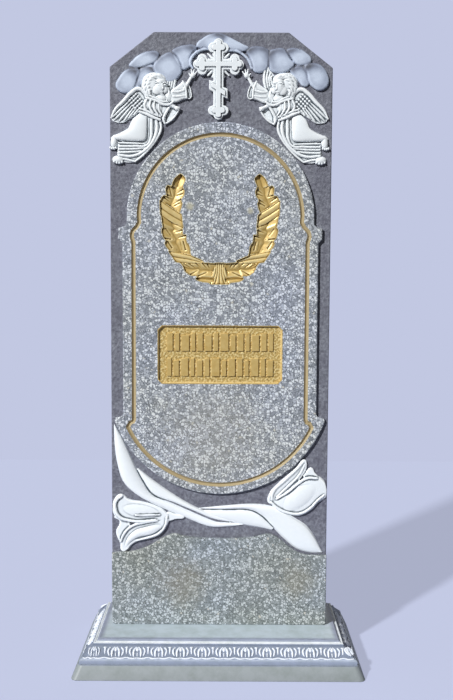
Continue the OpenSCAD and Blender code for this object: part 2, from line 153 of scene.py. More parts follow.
def smooth_rows(rows, steps):
    """rows of numbers, joined by a smooth curve through every row"""
    rows = [np.array(row, float) for row in rows]
    padded = [2 * rows[0] - rows[1]] + rows + [2 * rows[-1] - rows[-2]]
    curve = []
    for i in range(len(rows) - 1):
        a, b, c, d = padded[i:i + 4]
        for t in np.arange(steps) / steps:
            curve.append(0.5 * (2 * b + (c - a) * t + (2 * a - 5 * b + 4 * c - d) * t ** 2
                                + (3 * b - a - 3 * c + d) * t ** 3))
    return np.array(curve + [rows[-1]])


# ---------------------------------------------------------------- clay: forms on the board
def ball(x, y, rx, ry, rise, turn=0, lift=0):
    """a rounded lump, its middle at height lift"""
    bpy.ops.mesh.primitive_uv_sphere_add(
        segments=24, ring_count=14, radius=MM, location=(x * MM, y * MM, lift * MM),
        rotation=(0, 0, math.radians(turn)), scale=(rx, ry, rise))
    return bpy.context.object


def stroke(points, lift=0.0, flat=0.8):
    """a rounded ridge through points (x, y, radius)"""
    bpy.ops.curve.primitive_bezier_curve_add()
    ridge = bpy.context.object
    line = ridge.data
    line.bevel_depth = MM
    line.bevel_resolution = 3
    line.resolution_u = 7
    line.use_fill_caps = True
    spline = line.splines[0]
    spline.bezier_points.add(len(points) - 2)
    for knot, (x, y, radius) in zip(spline.bezier_points, points):
        knot.co = (x * MM, y * MM, 0)
        knot.radius = radius
        knot.handle_left_type = knot.handle_right_type = "AUTO"
    ridge = as_mesh(ridge)
    ridge.scale = (1, 1, flat)
    ridge.location.z = lift * MM
    ends = [ball(x, y, radius, radius, radius * flat, lift=lift)
            for x, y, radius in (points[0], points[-1]) if radius > 1.5]
    return [ridge] + ends


def plate(outline, top, edge=1.5, bottom=-ROOT, soft=True):
    """a flat form over a closed outline, with a rounded edge"""
    bpy.ops.curve.primitive_bezier_curve_add()
    form = bpy.context.object
    line = form.data
    line.dimensions = "2D"
    line.fill_mode = "BOTH"
    line.resolution_u = 6 if soft else 1
    line.extrude = ((top - bottom) / 2 - edge) * MM
    line.bevel_depth = edge * MM
    line.bevel_resolution = 3
    line.offset = -edge * MM
    spline = line.splines[0]
    spline.bezier_points.add(len(outline) - 2)
    for knot, (x, y) in zip(spline.bezier_points, outline):
        knot.co = (x * MM, y * MM, 0)
        knot.handle_left_type = knot.handle_right_type = "AUTO" if soft else "VECTOR"
    spline.use_cyclic_u = True
    form = weld(as_mesh(form))
    form.location.z = (top + bottom) / 2 * MM
    settle(form)
    return form


def dome(s):
    """a round section, for s from 0 at one edge to 1 at the other"""
    return math.sqrt(max(0.0, 1 - (2 * s - 1) ** 2))


def blade(rows, section=dome, steps=8, columns=12, bottom=-ROOT):
    """a surface between two edges; each row is (x, y) of one edge, (x, y) of the other and the rise"""
    path = smooth_rows([(*a, *b, rise) for a, b, rise in rows], steps)
    bpy.ops.mesh.primitive_grid_add(x_subdivisions=columns, y_subdivisions=len(path) - 1, size=2)
    form = bpy.context.object
    for vertex in form.data.vertices:
        s = (vertex.co.x + 1) / 2
        x1, y1, x2, y2, rise = path[round((vertex.co.y + 1) / 2 * (len(path) - 1))]
        vertex.co = Vector((x1 + (x2 - x1) * s, y1 + (y2 - y1) * s, rise * section(s))) * MM
    with all_selected(form):
        bpy.ops.mesh.extrude_region_move(TRANSFORM_OT_translate={"value": (0, 0, bottom * MM)})
        bpy.ops.transform.resize(value=(1, 1, 0), center_override=(0, 0, bottom * MM))
        bpy.ops.mesh.select_all(action="SELECT")
        bpy.ops.mesh.normals_make_consistent(inside=False)
    return form


def sideways(start, end, half):
    """the step of length half that leads off the line from start to end, to its right"""
    (x1, y1), (x2, y2) = start, end
    length = math.hypot(x2 - x1, y2 - y1)
    return (y2 - y1) / length * half, (x1 - x2) / length * half


def feather(start, end, half, rise, lift=0):
    """a slim leaf with a sharp spine"""
    (x1, y1), (x2, y2) = start, end
    nx, ny = sideways(start, end, half)
    rows = []
    for t, width in ((0, 0.45), (0.3, 0.9), (0.7, 1), (0.92, 0.6), (1, 0.08)):
        x, y = x1 + (x2 - x1) * t, y1 + (y2 - y1) * t
        rows.append(((x - nx * width, y - ny * width), (x + nx * width, y + ny * width),
                     lift + rise * (0.5 + 0.5 * width)))
    return blade(rows, section=lambda s: 1 - 0.5 * abs(2 * s - 1) ** 1.5, steps=4, columns=6)


def flat_list(parts):
    """the pieces in a list of pieces and lists"""
    pieces = []
    for part in parts:
        pieces += flat_list(part) if isinstance(part, (list, tuple)) else [part]
    return pieces


def press(name, parts, voxel=0.9, soften=2, mirror=False):
    """joins clay forms into one closed skin and softens it as a casting is"""
    pieces = flat_list(parts)
    settle(*pieces)
    piece = join(pieces)
    piece.name = name
    if mirror:
        piece.scale.x = -1
        settle(piece)
    modify(piece, "REMESH", mode="VOXEL", voxel_size=voxel * MM)
    if soften:
        modify(piece, "SMOOTH", factor=0.5, iterations=soften)
    return piece


def trim(piece, floor=-0.8):
    """cuts off what lies deep in the slab"""
    return saw(piece, (0, 0, floor * MM), (0, 0, -1))


def hang(piece, x=0.0, y=0.0):
    """turns a drawing upright; its origin goes to x and to height y on the slab's ground"""
    place = Matrix.Translation(Vector((x, GROUND, y)) * MM)
    piece.data.transform(place @ Matrix.Rotation(math.pi / 2, 4, "X"))
    return piece


def read(items, what, size, kind=float):
    """one value, of this many numbers, of every point or edge"""
    values = np.zeros(len(items) * size, kind)
    items.foreach_get(what, values)
    return values.reshape(-1, size)


def keep(piece, name, values):
    """keeps a number for every point of a piece in an attribute"""
    layer = piece.data.attributes.new(name, "FLOAT", "POINT")
    layer.data.foreach_set("value", values.astype(np.float32))


def note_hollows(piece, depth=0.8, rounds=14):
    """keeps in an attribute how far each point lies below (1) or above (-1) its surroundings; the paints
    turn it into painted shade in hollows and painted highlights on ridges
    """
    mesh = piece.data
    points, outward = read(mesh.vertices, "co", 3), read(mesh.vertices, "normal", 3)
    a, b = read(mesh.edges, "vertices", 2, int).T
    count = np.bincount(np.concatenate((a, b)), minlength=len(points))[:, None]
    soft = points.copy()
    for _ in range(rounds):
        total = np.stack([np.bincount(a, soft[b, k], len(points))
                          + np.bincount(b, soft[a, k], len(points)) for k in range(3)], axis=1)
        soft = 0.4 * soft + 0.6 * total / np.maximum(count, 1)
    below = ((soft - points) * outward).sum(1) / (depth * MM)
    keep(piece, "hollow", np.clip(below, -1, 1))
    return piece


def finish_piece(piece, name, material, node=None, smooth=50):
    """names a piece, gives it its material and fastens it to the object"""
    piece.name = name
    piece.data.name = name
    only(piece)
    bpy.ops.object.shade_smooth_by_angle(angle=math.radians(smooth))
    if smooth < 40:
        modify(piece, "WEIGHTED_NORMAL", keep_sharp=True)
    piece.data.materials.clear()
    piece.data.materials.append(material)
    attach(piece, "root")
    if node:
        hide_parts(node)
    return piece


# ---------------------------------------------------------------- materials
def linear(code):
    """an sRGB hex colour, such as 'c2c8e2', in linear light"""
    parts = [int(code[i:i + 2], 16) / 255 for i in (0, 2, 4)]
    return tuple(c / 12.92 if c <= 0.04045 else ((c + 0.055) / 1.055) ** 2.4 for c in parts) + (1.0,)


def feed(tree, node, inputs):
    """gives each socket, by name or number, a value or a link; a node stands for its first output"""
    for socket, value in inputs.items():
        if isinstance(value, bpy.types.Node):
            value = value.outputs[0]
        if isinstance(value, bpy.types.NodeSocket):
            tree.links.new(value, node.inputs[socket])
        else:
            node.inputs[socket].default_value = value


def add(tree, kind, inputs=None, stops=(), **settings):
    """adds one node with its inputs, the stops of its colour ramp and its settings"""
    node = tree.nodes.new("ShaderNode" + kind)
    for key, value in settings.items():
        setattr(node, key, value)
    feed(tree, node, inputs or {})
    for i, (place, shade) in enumerate(stops):
        ramp = node.color_ramp
        stop = ramp.elements[i] if i < 2 else ramp.elements.new(place)
        stop.position = place
        stop.color = linear(shade) if isinstance(shade, str) else (shade, shade, shade, 1)
    return node


def new_material(name):
    material = bpy.data.materials.new(name)
    material.use_nodes = True
    tree = material.node_tree
    shader = tree.nodes["Principled BSDF"]
    place = add(tree, "TexCoord").outputs["Object"]
    return material, tree, shader, place


def lay_on(tree, shader, colour, rough, height, strength, depth):
    """gives a surface its colour and roughness, and a bump this many millimetres deep"""
    bump = add(tree, "Bump", {"Height": height, "Strength": strength, "Distance": depth * MM})
    feed(tree, shader, {"Base Color": colour, "Roughness": rough, "Normal": bump})


def per_mm(size):
    """the scale of a pattern whose features are size millimetres apart"""
    return 1 / (size * MM)


A, B, MIXED = 6, 7, 2  # the colour sockets of a Mix node


def stained(tree, place, colour, stains):
    """lays ragged stains over a colour; each is the x and z of its middle, its radius, shade and cover"""
    ragged = add(tree, "TexNoise", {"Vector": place, "Scale": per_mm(11), "Detail": 4.0})
    for x, z, radius, shade, cover in stains:
        middle = Vector((x, GROUND - RAISE, z)) * MM
        far = add(tree, "VectorMath", {0: place, 1: middle}, operation="DISTANCE")
        reach = add(tree, "Math", {0: ragged, 1: radius * MM, 2: far.outputs["Value"]},
                    operation="MULTIPLY_ADD")
        patch = add(tree, "MapRange", {"Value": reach, "From Min": 1.4 * radius * MM,
                                       "From Max": 0.8 * radius * MM, "To Max": cover})
        colour = add(tree, "Mix", {0: patch, A: colour, B: linear(shade)}, data_type="RGBA").outputs[MIXED]
    return colour


def terrazzo(name, chip, light, pale, mid, cement, tone, stains):
    """Ground terrazzo: light marble chips packed close in grey cement, cut flat; chips shine more."""
    material, tree, shader, place = new_material(name)
    wander = add(tree, "TexNoise", {"Vector": place, "Scale": per_mm(chip * 0.8), "Detail": 2.0})
    bent = add(tree, "Mix", {0: 0.004, 4: place, 5: wander.outputs["Color"]}, data_type="VECTOR")
    spacing = {"Vector": bent.outputs[1], "Scale": per_mm(chip)}
    cells = add(tree, "TexVoronoi", spacing)
    edges = add(tree, "TexVoronoi", spacing, feature="DISTANCE_TO_EDGE")
    luck = add(tree, "SeparateColor", {"Color": cells.outputs["Color"]})
    size = add(tree, "MapRange", {"Value": luck.outputs["Blue"], "To Min": 0.02, "To Max": 0.15})
    inner = add(tree, "Math", {0: edges, 1: size}, operation="SUBTRACT")
    inside = add(tree, "MapRange", {"Value": inner, "From Min": 0.0, "From Max": 0.04})
    chips = add(tree, "ValToRGB", {"Fac": luck.outputs["Red"]}, stops=[
        (0.0, mid), (0.2, pale), (0.5, light), (0.985, "d3d2ca")])
    chips.color_ramp.interpolation = "CONSTANT"
    grit = add(tree, "TexVoronoi", {"Vector": place, "Scale": per_mm(chip * 0.4)})
    fine = add(tree, "SeparateColor", {"Color": grit.outputs["Color"]})
    sand = add(tree, "ValToRGB", {"Fac": fine.outputs["Green"]}, stops=[
        (0.0, cement), (0.4, cement), (0.7, mid), (1.0, pale)])
    body = add(tree, "Mix", {0: inside, A: sand, B: chips}, data_type="RGBA")
    cloudy = add(tree, "TexNoise", {"Vector": place, "Scale": per_mm(170), "Detail": 4.0})
    shade = add(tree, "ValToRGB", {"Fac": cloudy}, stops=[(0.35, "f1f3fb"), (0.65, tone)])
    worn = add(tree, "Mix", {0: 1.0, A: body.outputs[MIXED], B: shade},
               data_type="RGBA", blend_type="MULTIPLY")
    colour = stained(tree, place, worn.outputs[MIXED], stains)
    gloss = add(tree, "MapRange", {"Value": inside, "To Min": 0.65, "To Max": 0.42})
    lay_on(tree, shader, colour, gloss, inside, 0.5, 0.25)
    return material


def masonry_paint():
    """Dark grey masonry paint over stippled concrete: matt, blotchy and grainy to the eye."""
    material, tree, shader, place = new_material("dark_masonry_paint")
    # the real stipple is 2 to 3 mm; it is drawn at 5.5 mm so that it shows
    stipple = add(tree, "TexNoise", {"Vector": place, "Scale": per_mm(5.5), "Detail": 4.0,
                                     "Roughness": 0.6})
    blotch = add(tree, "TexNoise", {"Vector": place, "Scale": per_mm(45), "Detail": 5.0, "Roughness": 0.6})
    speck = add(tree, "ValToRGB", {"Fac": stipple}, stops=[
        (0.32, "62646f"), (0.5, "777a85"), (0.68, "8d919b")])
    tone = add(tree, "ValToRGB", {"Fac": blotch}, stops=[(0.3, "e2dfe6"), (0.7, "ffffff")])
    paint = add(tree, "Mix", {0: 1.0, A: speck, B: tone}, data_type="RGBA", blend_type="MULTIPLY")
    lay_on(tree, shader, paint.outputs[MIXED], 0.6, stipple, 1.0, 1.8)
    return material


def relief_paint(name, hollow, plain, edge, rough, metal=0.0):
    """Brushed-on paint over cast relief, with painted shade darkening it in the hollows and a painted
    highlight brightening it on edges.
    """
    material, tree, shader, place = new_material(name)
    depth = add(tree, "Attribute", attribute_name="hollow")
    brush = add(tree, "TexNoise", {"Vector": place, "Scale": per_mm(9), "Detail": 5.0})
    jitter = add(tree, "MapRange", {"Value": brush, "To Min": -0.12, "To Max": 0.12})
    reach = add(tree, "Math", {0: depth.outputs["Fac"], 1: jitter}, operation="ADD")
    level = add(tree, "MapRange", {"Value": reach, "From Min": -0.7, "From Max": 0.8})
    # painted shade in the hollows and painted highlight on the edges, led by the hollow attribute
    coat = add(tree, "ValToRGB", {"Fac": level}, stops=[
        (0.0, edge), (0.3, edge), (0.5, plain), (0.85, hollow)])
    # a brush leaves ripples under 1 mm apart; they are drawn at 2.5 mm so that they show
    grain = add(tree, "TexNoise", {"Vector": place, "Scale": per_mm(2.5), "Detail": 3.0})
    lay_on(tree, shader, coat, rough, grain, 0.35, 0.3)
    feed(tree, shader, {"Metallic": metal})
    return material


def cloud_paint():
    """Pale blue sprayed on the crowns of the clouds, thinning to the dark ground at their upper rims;
    painted shade darkens the creases between the pillows.
    """
    material, tree, shader, place = new_material("sprayed_cloud_paint")
    coat = add(tree, "Attribute", attribute_name="spray")
    depth = add(tree, "Attribute", attribute_name="hollow")
    mist = add(tree, "TexNoise", {"Vector": place, "Scale": per_mm(18), "Detail": 5.0})
    drift = add(tree, "MapRange", {"Value": mist, "To Min": -0.3, "To Max": 0.3})
    thick = add(tree, "Math", {0: coat.outputs["Fac"], 1: drift}, operation="ADD")
    # painted shade: the hollow attribute darkens the creases between the pillows
    crease_shade = add(tree, "Math", {0: depth.outputs["Fac"], 1: 0.55, 2: 0.0}, operation="MULTIPLY_ADD")
    level = add(tree, "Math", {0: thick, 1: crease_shade}, operation="SUBTRACT")
    shade = add(tree, "ValToRGB", {"Fac": level}, stops=[
        (0.0, "5d616d"), (0.3, "7f879b"), (0.6, "a5b0c5"), (1.0, "cad6ea")])
    grain = add(tree, "TexNoise", {"Vector": place, "Scale": per_mm(3), "Detail": 3.0})
    lay_on(tree, shader, shade, 0.55, grain, 0.4, 0.4)
    return material


def base_paint():
    """Pale blue-grey masonry paint, bare cement grey at the foot; its bands by height hold painted shade
    and painted highlights as well as the paint's own tones.
    """
    material, tree, shader, place = new_material("base_masonry_paint")
    where = add(tree, "SeparateXYZ", {"Vector": place})
    wash = add(tree, "TexNoise", {"Vector": place, "Scale": per_mm(60), "Detail": 6.0, "Roughness": 0.6})
    drift = add(tree, "MapRange", {"Value": wash, "To Min": -0.5 * MM, "To Max": 0.5 * MM})
    up = add(tree, "Math", {0: where.outputs["Z"], 1: drift}, operation="ADD")
    level = add(tree, "MapRange", {"Value": up, "From Max": FOOT * MM})
    # bands by height: greenish cement at the foot, then blue-grey paint; the riser and the leaf band
    # darker, partly their paint and partly painted shade; a painted highlight on the rim below the leaves
    # and on the bead's top; painted shade under the bead and on the slope inside it; then the pale platform
    coat = add(tree, "ValToRGB", {"Fac": level}, stops=[
        (0.0, "8b9193"), (0.38, "959c9d"), (0.42, "8f98ab"), (0.53, "98a2b5"), (0.56, "b3bdce"),
        (0.6, "808a9e"), (0.84, "8b95a8"), (0.87, "768095"), (0.91, "8f9aad"), (0.93, "eef2f7"),
        (0.945, "e6ecf2"), (0.955, "a3abbd"), (0.965, "a1a9bb"), (0.98, "c8d5de")])
    weather = add(tree, "TexNoise", {"Vector": place, "Scale": per_mm(28), "Detail": 7.0,
                                     "Roughness": 0.65})
    stain = add(tree, "ValToRGB", {"Fac": weather}, stops=[(0.3, "e6e9e4"), (0.6, "ffffff")])
    paint = add(tree, "Mix", {0: 1.0, A: coat, B: stain}, data_type="RGBA", blend_type="MULTIPLY")
    # the strip just inside the bead is a little darker
    inset = []
    for axis, half in (("X", LEDGE_X), ("Y", LEDGE_Y)):
        far = add(tree, "Math", {0: where.outputs[axis]}, operation="ABSOLUTE")
        inset.append(add(tree, "Math", {0: half * MM, 1: far}, operation="SUBTRACT"))
    rim = add(tree, "Math", {0: inset[0], 1: inset[1]}, operation="MINIMUM")
    clear = add(tree, "MapRange", {"Value": rim, "From Min": 11 * MM, "From Max": 19 * MM})
    under = add(tree, "Math", {0: where.outputs["Z"], 1: (FOOT - 2) * MM}, operation="LESS_THAN")
    light = add(tree, "Math", {0: clear, 1: under}, operation="MAXIMUM")
    edged = add(tree, "Mix", {0: light, A: linear("c9c6d6"), B: linear("ffffff")}, data_type="RGBA")
    banded = add(tree, "Mix", {0: 1.0, A: paint.outputs[MIXED], B: edged.outputs[MIXED]},
                 data_type="RGBA", blend_type="MULTIPLY")
    grain = add(tree, "TexNoise", {"Vector": place, "Scale": per_mm(3), "Detail": 5.0})
    lay_on(tree, shader, banded.outputs[MIXED], 0.5, grain, 0.4, 0.4)
    return material


panel_stone = terrazzo("panel_terrazzo", 5.5, "eaeff3", "bfc5ce", "959ba3", "70767e", "f0efea",
                       [(-20, 470, 150, "aaa58f", 0.25), (-63, 939, 11, "bcb89f", 0.8),
                        (60, 931, 10, "b4b099", 0.8)])
block_stone = terrazzo("block_terrazzo", 5.2, "d3dadc", "a6aeaf", "899192", "6b7373", "e9e6dc",
                       [(-77, 160, 70, "8d8570", 0.35), (165, 162, 55, "8f8974", 0.3)])
dark_paint = masonry_paint()
# each relief paint: its painted shade for the hollows, its plain colour, its painted highlight for the
# edges, its roughness
white_paint = relief_paint("white_enamel", "48535c", "ebf2f7", "f5fafd", 0.45)
gold_paint = relief_paint("bronze_gold_paint", "3a270a", "d0b069", "f3dfa4", 0.38, metal=0.25)
old_gold_paint = relief_paint("worn_gold_paint", "463a20", "af9f7b", "bdad89", 0.5)
blue_paint = base_paint()
sky_paint = cloud_paint()
trim_paint = relief_paint("base_highlight_paint", "8791a5", "b4bfd0", "e8edf4", 0.5)


# ---------------------------------------------------------------- the slab
def make_slab():
    """the upright slab with its two cut top corners"""
    bpy.ops.mesh.primitive_cube_add(
        size=1, location=Vector((0, (GROUND + BACK) / 2, (TOP + FOOT) / 2)) * MM,
        scale=Vector((2 * HALF, SLAB, TOP - FOOT)) * MM)
    slab = bpy.context.object
    settle(slab)
    for side in (-1, 1):
        saw(slab, Vector((side * HALF, 0, TOP - CORNER_H)) * MM,
            Vector((side * CORNER_H, 0, CORNER_W)).normalized())
    return modify(slab, "BEVEL", width=2.2 * MM, segments=3)


# ---------------------------------------------------------------- the terrazzo panel
def arc(x, y, radius, start, end, count):
    """points on part of a circle, between two angles in degrees"""
    angles = np.radians(np.linspace(start, end, count))
    return [(x + radius * math.cos(a), y + radius * math.sin(a)) for a in angles]


def both_sides(half):
    """a closed outline from its right half, drawn from the top down"""
    return half + [(-x, y) for x, y in reversed(half) if abs(x) > 0.01]


def panel_outline():
    """the arch, a small ear on each side, straight sides, and the bowl with its two tips"""
    ear, tip = SIDE + 8, SIDE + 18
    upper = [(ARCH_R - 0.6, -6), (ARCH_R, -13), (ARCH_R + 3, -17.5), (ear - 4, -20),
             (ear, -21.5), (ear, -44), (SIDE + 5, -46), (SIDE, -51)]
    lower = [(SIDE, -62), (SIDE + 2, -66.5), (SIDE + 7, -69.5), (tip - 2, -71)]
    return both_sides(
        arc(0, ARCH_Y, ARCH_R, 90, 4, 44)
        + [(x, ARCH_Y + y) for x, y in upper] + [(x, BOWL_Y + y) for x, y in lower]
        + arc(0, BOWL_Y, BOWL_R, -math.degrees(math.acos(tip / BOWL_R)), -90, 36))


def line_path():
    """where the gold line runs, a little over 20 mm inside the panel's edge"""
    arch, side, bowl = ARCH_R - 25, SIDE - 22.5, BOWL_R - 20.5
    upper = [(arch - 1, -10), (arch + 4, -19), (arch + 12.5, -28), (side + 3.5, -36), (side + 2.5, -43),
             (side, -50)]
    lower = [(side, -74), (side + 2, -79), (side + 8, -81.5)]
    return both_sides(
        arc(0, ARCH_Y, arch, 90, 2, 44)
        + [(x, ARCH_Y + y) for x, y in upper] + [(x, BOWL_Y + y) for x, y in lower]
        + arc(0, BOWL_Y, bowl, -math.degrees(math.acos((side + 12.5) / bowl)), -90, 36))


def swept_line(section):
    """a ring with the given section, laid along the gold line's path"""
    bpy.ops.curve.primitive_bezier_circle_add()
    profile = bpy.context.object
    bpy.ops.curve.primitive_bezier_curve_add()
    ring = bpy.context.object
    for curve, outline in ((profile.data, section), (ring.data, line_path())):
        curve.splines.clear()
        spline = curve.splines.new("POLY")
        spline.points.add(len(outline) - 1)
        for knot, (x, y) in zip(spline.points, outline):
            knot.co = (x * MM, y * MM, 0, 1)
        spline.use_cyclic_u = True
    profile.data.dimensions = "2D"
    ring.data.dimensions = "2D"
    ring.data.fill_mode = "NONE"
    ring.data.bevel_mode = "OBJECT"
    ring.data.bevel_object = profile
    ring = as_mesh(ring)
    bpy.data.objects.remove(profile)
    return weld(ring)


LINE_W, LINE_DEPTH = 8.6, 4.2  # the gold line's groove

# ---- the wreath: each leaf is a hollow pressed into the panel ----
WREATH = ARCH_Y - 132          # height of its lowest point

# one branch, as distances from the centre line and heights: the hollow along its middle, with half widths
STEM = [(0, 20, 14), (24, 27, 12), (46, 32, 12), (66, 46, 13), (81, 66, 14), (91, 94, 15), (97, 126, 18),
        (99, 150, 15), (93, 172, 8)]
# its oak leaves from tip to stalk: points on the outer and the inner edge, where the lobes swing in and out
LEAVES = [
    [((79, 219.5), (75, 218)), ((88, 212), (69, 211)), ((93.5, 202), (70.5, 203)),
     ((95, 193), (74, 194.5)), ((103, 196.5), (71, 187)), ((107, 190), (70.5, 182)),
     ((106, 180), (73, 174)), ((105, 174.5), (78, 167.5)), ((111, 176), (75, 161)),
     ((115, 172), (76.5, 152)), ((117, 167), (80, 142))],
    [((117, 137), (76, 110)), ((113, 123), (75, 106)), ((108, 115.5), (74, 102)),
     ((115.5, 108), (74, 98)), ((112, 92), (69, 95)), ((107, 86), (67, 90)), ((109, 79), (66, 82)),
     ((105, 71), (61, 75)), ((98, 63), (58, 58))],
    [((80, 44), (73, 33)), ((72, 41), (68, 22)), ((58, 40), (59, 16)), ((46, 41), (51, 14)),
     ((38, 43), (46, 14)), ((33, 41), (42, 10)), ((24, 40), (32, 11)), ((8, 39), (16, 10))],
    [((48, 9), (47, 7)), ((40, 13), (40, 3)), ((28, 14), (28, 1)), ((10, 12), (12, -1))]]
# cuts between the lobes
VEINS = [((92, 176), (73, 189)), ((96, 157), (77, 169)), ((86, 176), (74, 180)), ((90, 156), (80, 161)),
         ((89, 190), (96, 195)), ((94, 174), (106, 178)), ((96, 176), (100, 192)),
         ((99, 163), (112, 173)), ((95, 119), (83, 116)), ((94, 100), (74, 107)), ((92, 88), (67, 96)),
         ((97, 88), (110, 90)), ((98, 96), (108, 110)), ((85, 66), (85, 88)), ((76, 66), (80, 88)),
         ((68, 66), (73, 84)), ((95, 70), (104, 84)), ((16, 20), (25, 39)), ((20, 22), (35, 40)),
         ((34, 26), (48, 40)), ((48, 29), (62, 39)), ((60, 31), (72, 38)), ((26, 21), (43, 13)),
         ((44, 25), (59, 16)), ((58, 29), (70, 26)), ((14, 8), (40, 9))]
# the ribbon wound twice round the branch, and half of the tie: both edges
RIBBONS = [[((119, 167), (118, 137)), ((98, 152), (96, 122)), ((76, 138), (73, 110))],
           [((102, 64), (88, 42)), ((80, 59.5), (73, 40)), ((58, 55), (57, 38.5)), ((33, 44.5), (40, 38))]]
TIE = [((-9, 40), (9, 40)), ((-8, 22), (8, 22)), ((-14, 5), (14, 5)), ((-20, -3), (20, -3))]


def valley(s):
    """a steep wall at each edge and a sharp keel along the middle"""
    return 0.44 + 0.56 * (1 - abs(2 * s - 1)) ** 1.2


def strands(count):
    """rounded strands side by side with a sharp groove on each side of every one"""
    return lambda s: 1 - 0.4 * abs(math.sin(math.pi * count * s)) ** 0.45


def cutline(start, end, half=1.7):
    """a narrow cut, deeper at its start"""
    rows = []
    for (x, y), deep in ((start, 7.2), (end, 5.9)):
        nx, ny = sideways(start, end, half)
        rows.append(((x - nx, y - ny), (x + nx, y + ny), -deep))
    return blade(rows, section=lambda s: 0.6 + 0.4 * dome(s), steps=4, columns=4, bottom=2)


def hollow(rows, side, deep, section, steps, columns=12):
    """a hollow of this depth between two edges, on the right (1) or mirrored to the left (-1)"""
    rows = [((side * x1, y1), (side * x2, y2), -deep) for (x1, y1), (x2, y2) in rows]
    return blade(rows, section=section, steps=steps, columns=columns, bottom=2)


def wreath_hollows():
    """all that is pressed into the panel for the wreath, drawn about its lowest point"""
    middle = smooth_rows(STEM, 3)
    ahead = np.gradient(middle[:, :2], axis=0)
    ahead /= np.hypot(*ahead.T)[:, None]
    stem = [((x + ty * w, y - tx * w), (x - ty * w, y + tx * w))
            for (x, y, w), (tx, ty) in zip(middle, ahead)]
    parts = []
    for side in (1, -1):
        parts.append(hollow(stem, side, 3, lambda s: 1.0, steps=1))
        parts += [hollow(leaf, side, 7.6, valley, steps=4, columns=20) for leaf in LEAVES]
        parts += [cutline((side * x1, y1), (side * x2, y2)) for (x1, y1), (x2, y2) in VEINS]
        parts += [hollow(band, side, 5.6, strands(2), steps=6, columns=36) for band in RIBBONS]
    parts.append(hollow(TIE, 1, 5.8, strands(4), steps=6, columns=40))
    return parts


def make_panel():
    """the terrazzo panel, and the gold line, wreath and plaque let into it"""
    panel = plate(panel_outline(), RAISE, edge=2.6, bottom=-1, soft=False)

    half, low = LINE_W / 2, RAISE - LINE_DEPTH
    cut(panel, swept_line([(-half, low - 1), (half, low - 1), (half, RAISE + 2), (-half, RAISE + 2)]))
    bed = 0.4                  # how far the gold stays below the stone
    line = swept_line([(-half, low - 1), (half, low - 1), (half, RAISE - bed), (0.5, low), (-0.5, low),
                       (-half, RAISE - bed)])

    pressed = press("wreath_hollows", wreath_hollows(), voxel=0.8, soften=1)
    pressed.data.transform(Matrix.Translation(Vector((-1.5, WREATH, RAISE)) * MM)
                           @ Matrix.Scale(1.025, 4, (1, 0, 0)))
    lining = copy_of(pressed)
    modify(lining, "DISPLACE", strength=0.9 * MM, mid_level=0)
    modify(lining, "REMESH", mode="VOXEL", voxel_size=1.0 * MM)
    cut(panel, lining, keep_cutter=True)
    over = 0.5                 # metres: a cube that covers all above the panel's face
    bpy.ops.mesh.primitive_cube_add(
        size=over, location=(0, WREATH * MM + 0.1, over / 2 + (RAISE - 0.05) * MM))
    above = bpy.context.object
    settle(above)
    cut(lining, above)
    wreath = cut(lining, pressed)

    plaque = plate(plaque_outline(0), RAISE - 0.1, edge=0.2, bottom=-0.5, soft=False)
    cut(panel, plate(plaque_outline(0), RAISE + 3, edge=0.2, bottom=0.5, soft=False))
    return panel, line, wreath, plaque


PLAQUE_W, PLAQUE_H, PLAQUE_DEPTH = 257, 121, 5.4
CLIP = 9                       # what its cut corners lose
PLAQUE_Y = FOOT + 571          # the height of its middle


def plaque_outline(inset):
    """the plaque's outline with its clipped corners, this far inside its edge"""
    w, h = PLAQUE_W / 2 - inset, PLAQUE_H / 2 - inset
    return [(x, PLAQUE_Y + y) for x, y in (
        (-w + CLIP, h), (w - CLIP, h), (w, h - CLIP), (w, -h + CLIP),
        (w - CLIP, -h), (-w + CLIP, -h), (-w, -h + CLIP), (-w, h - CLIP))]


def make_plaque(plaque):
    """sinks the plaque's field, hammers it and sets two rows of plain strokes in it"""
    floor = RAISE - PLAQUE_DEPTH
    cut(plaque, plate(plaque_outline(1.4), RAISE + 3, edge=0.2, bottom=floor, soft=False))
    bpy.ops.mesh.primitive_grid_add(x_subdivisions=170, y_subdivisions=82, size=1,
                                    location=(0, PLAQUE_Y * MM, floor * MM))
    field = bpy.context.object
    field.scale = ((PLAQUE_W - 3) * MM, (PLAQUE_H - 3) * MM, 1)
    settle(field)
    hammer = bpy.data.textures.new("hammer", "VORONOI")
    hammer.noise_scale = 3.6 * MM
    modify(field, "DISPLACE", texture=hammer, strength=1.3 * MM, mid_level=0.3, texture_coords="LOCAL")
    modify(field, "SOLIDIFY", thickness=1.5 * MM, offset=-1)
    bars = []
    widths = [13, 10, 17, 9, 12, 15, 10, 18, 11, 13, 9, 16, 12, 10]
    gap, run, tall = 4.2, PLAQUE_W - 38, 18.5    # run is a row's length, tall is half a stroke's height
    fit = (run - gap * (len(widths) - 1)) / sum(widths)
    for row, (up, order) in enumerate(((26, 1), (-26, -1))):
        x = -run / 2
        for i, width in enumerate(widths[::order]):
            width *= fit
            drop = 4 if (i + row) % 3 == 2 else 0
            low, high = PLAQUE_Y + up - tall, PLAQUE_Y + up + tall - drop
            bars.append(plate([(x, low), (x + width, low), (x + width, high), (x, high)],
                              floor + 3.1, edge=0.9, bottom=floor - 1, soft=False))
            x += width + gap
    return field, join(bars)


# ---------------------------------------------------------------- the lower block
def make_block():
    """its top edge swings up in the middle; heights are above the ground"""
    top = [(-HALF, 219), (-210, 221), (-180, 223), (-150, 233), (-128, 246), (-108, 257), (-92, 261),
           (-74, 256), (-40, 252), (20, 251), (70, 254), (98, 261), (114, 258), (132, 246), (150, 231),
           (170, 220), (190, 216), (HALF, 216)]
    curve = [tuple(row) for row in smooth_rows(top, 4)]
    right = arc(HALF - 7, FOOT + 7, 7, 0, -90, 6)
    left = arc(-HALF + 7, FOOT + 7, 7, -90, -180, 6)
    return plate(curve + right + left, RAISE, edge=2.2, bottom=-1, soft=False)


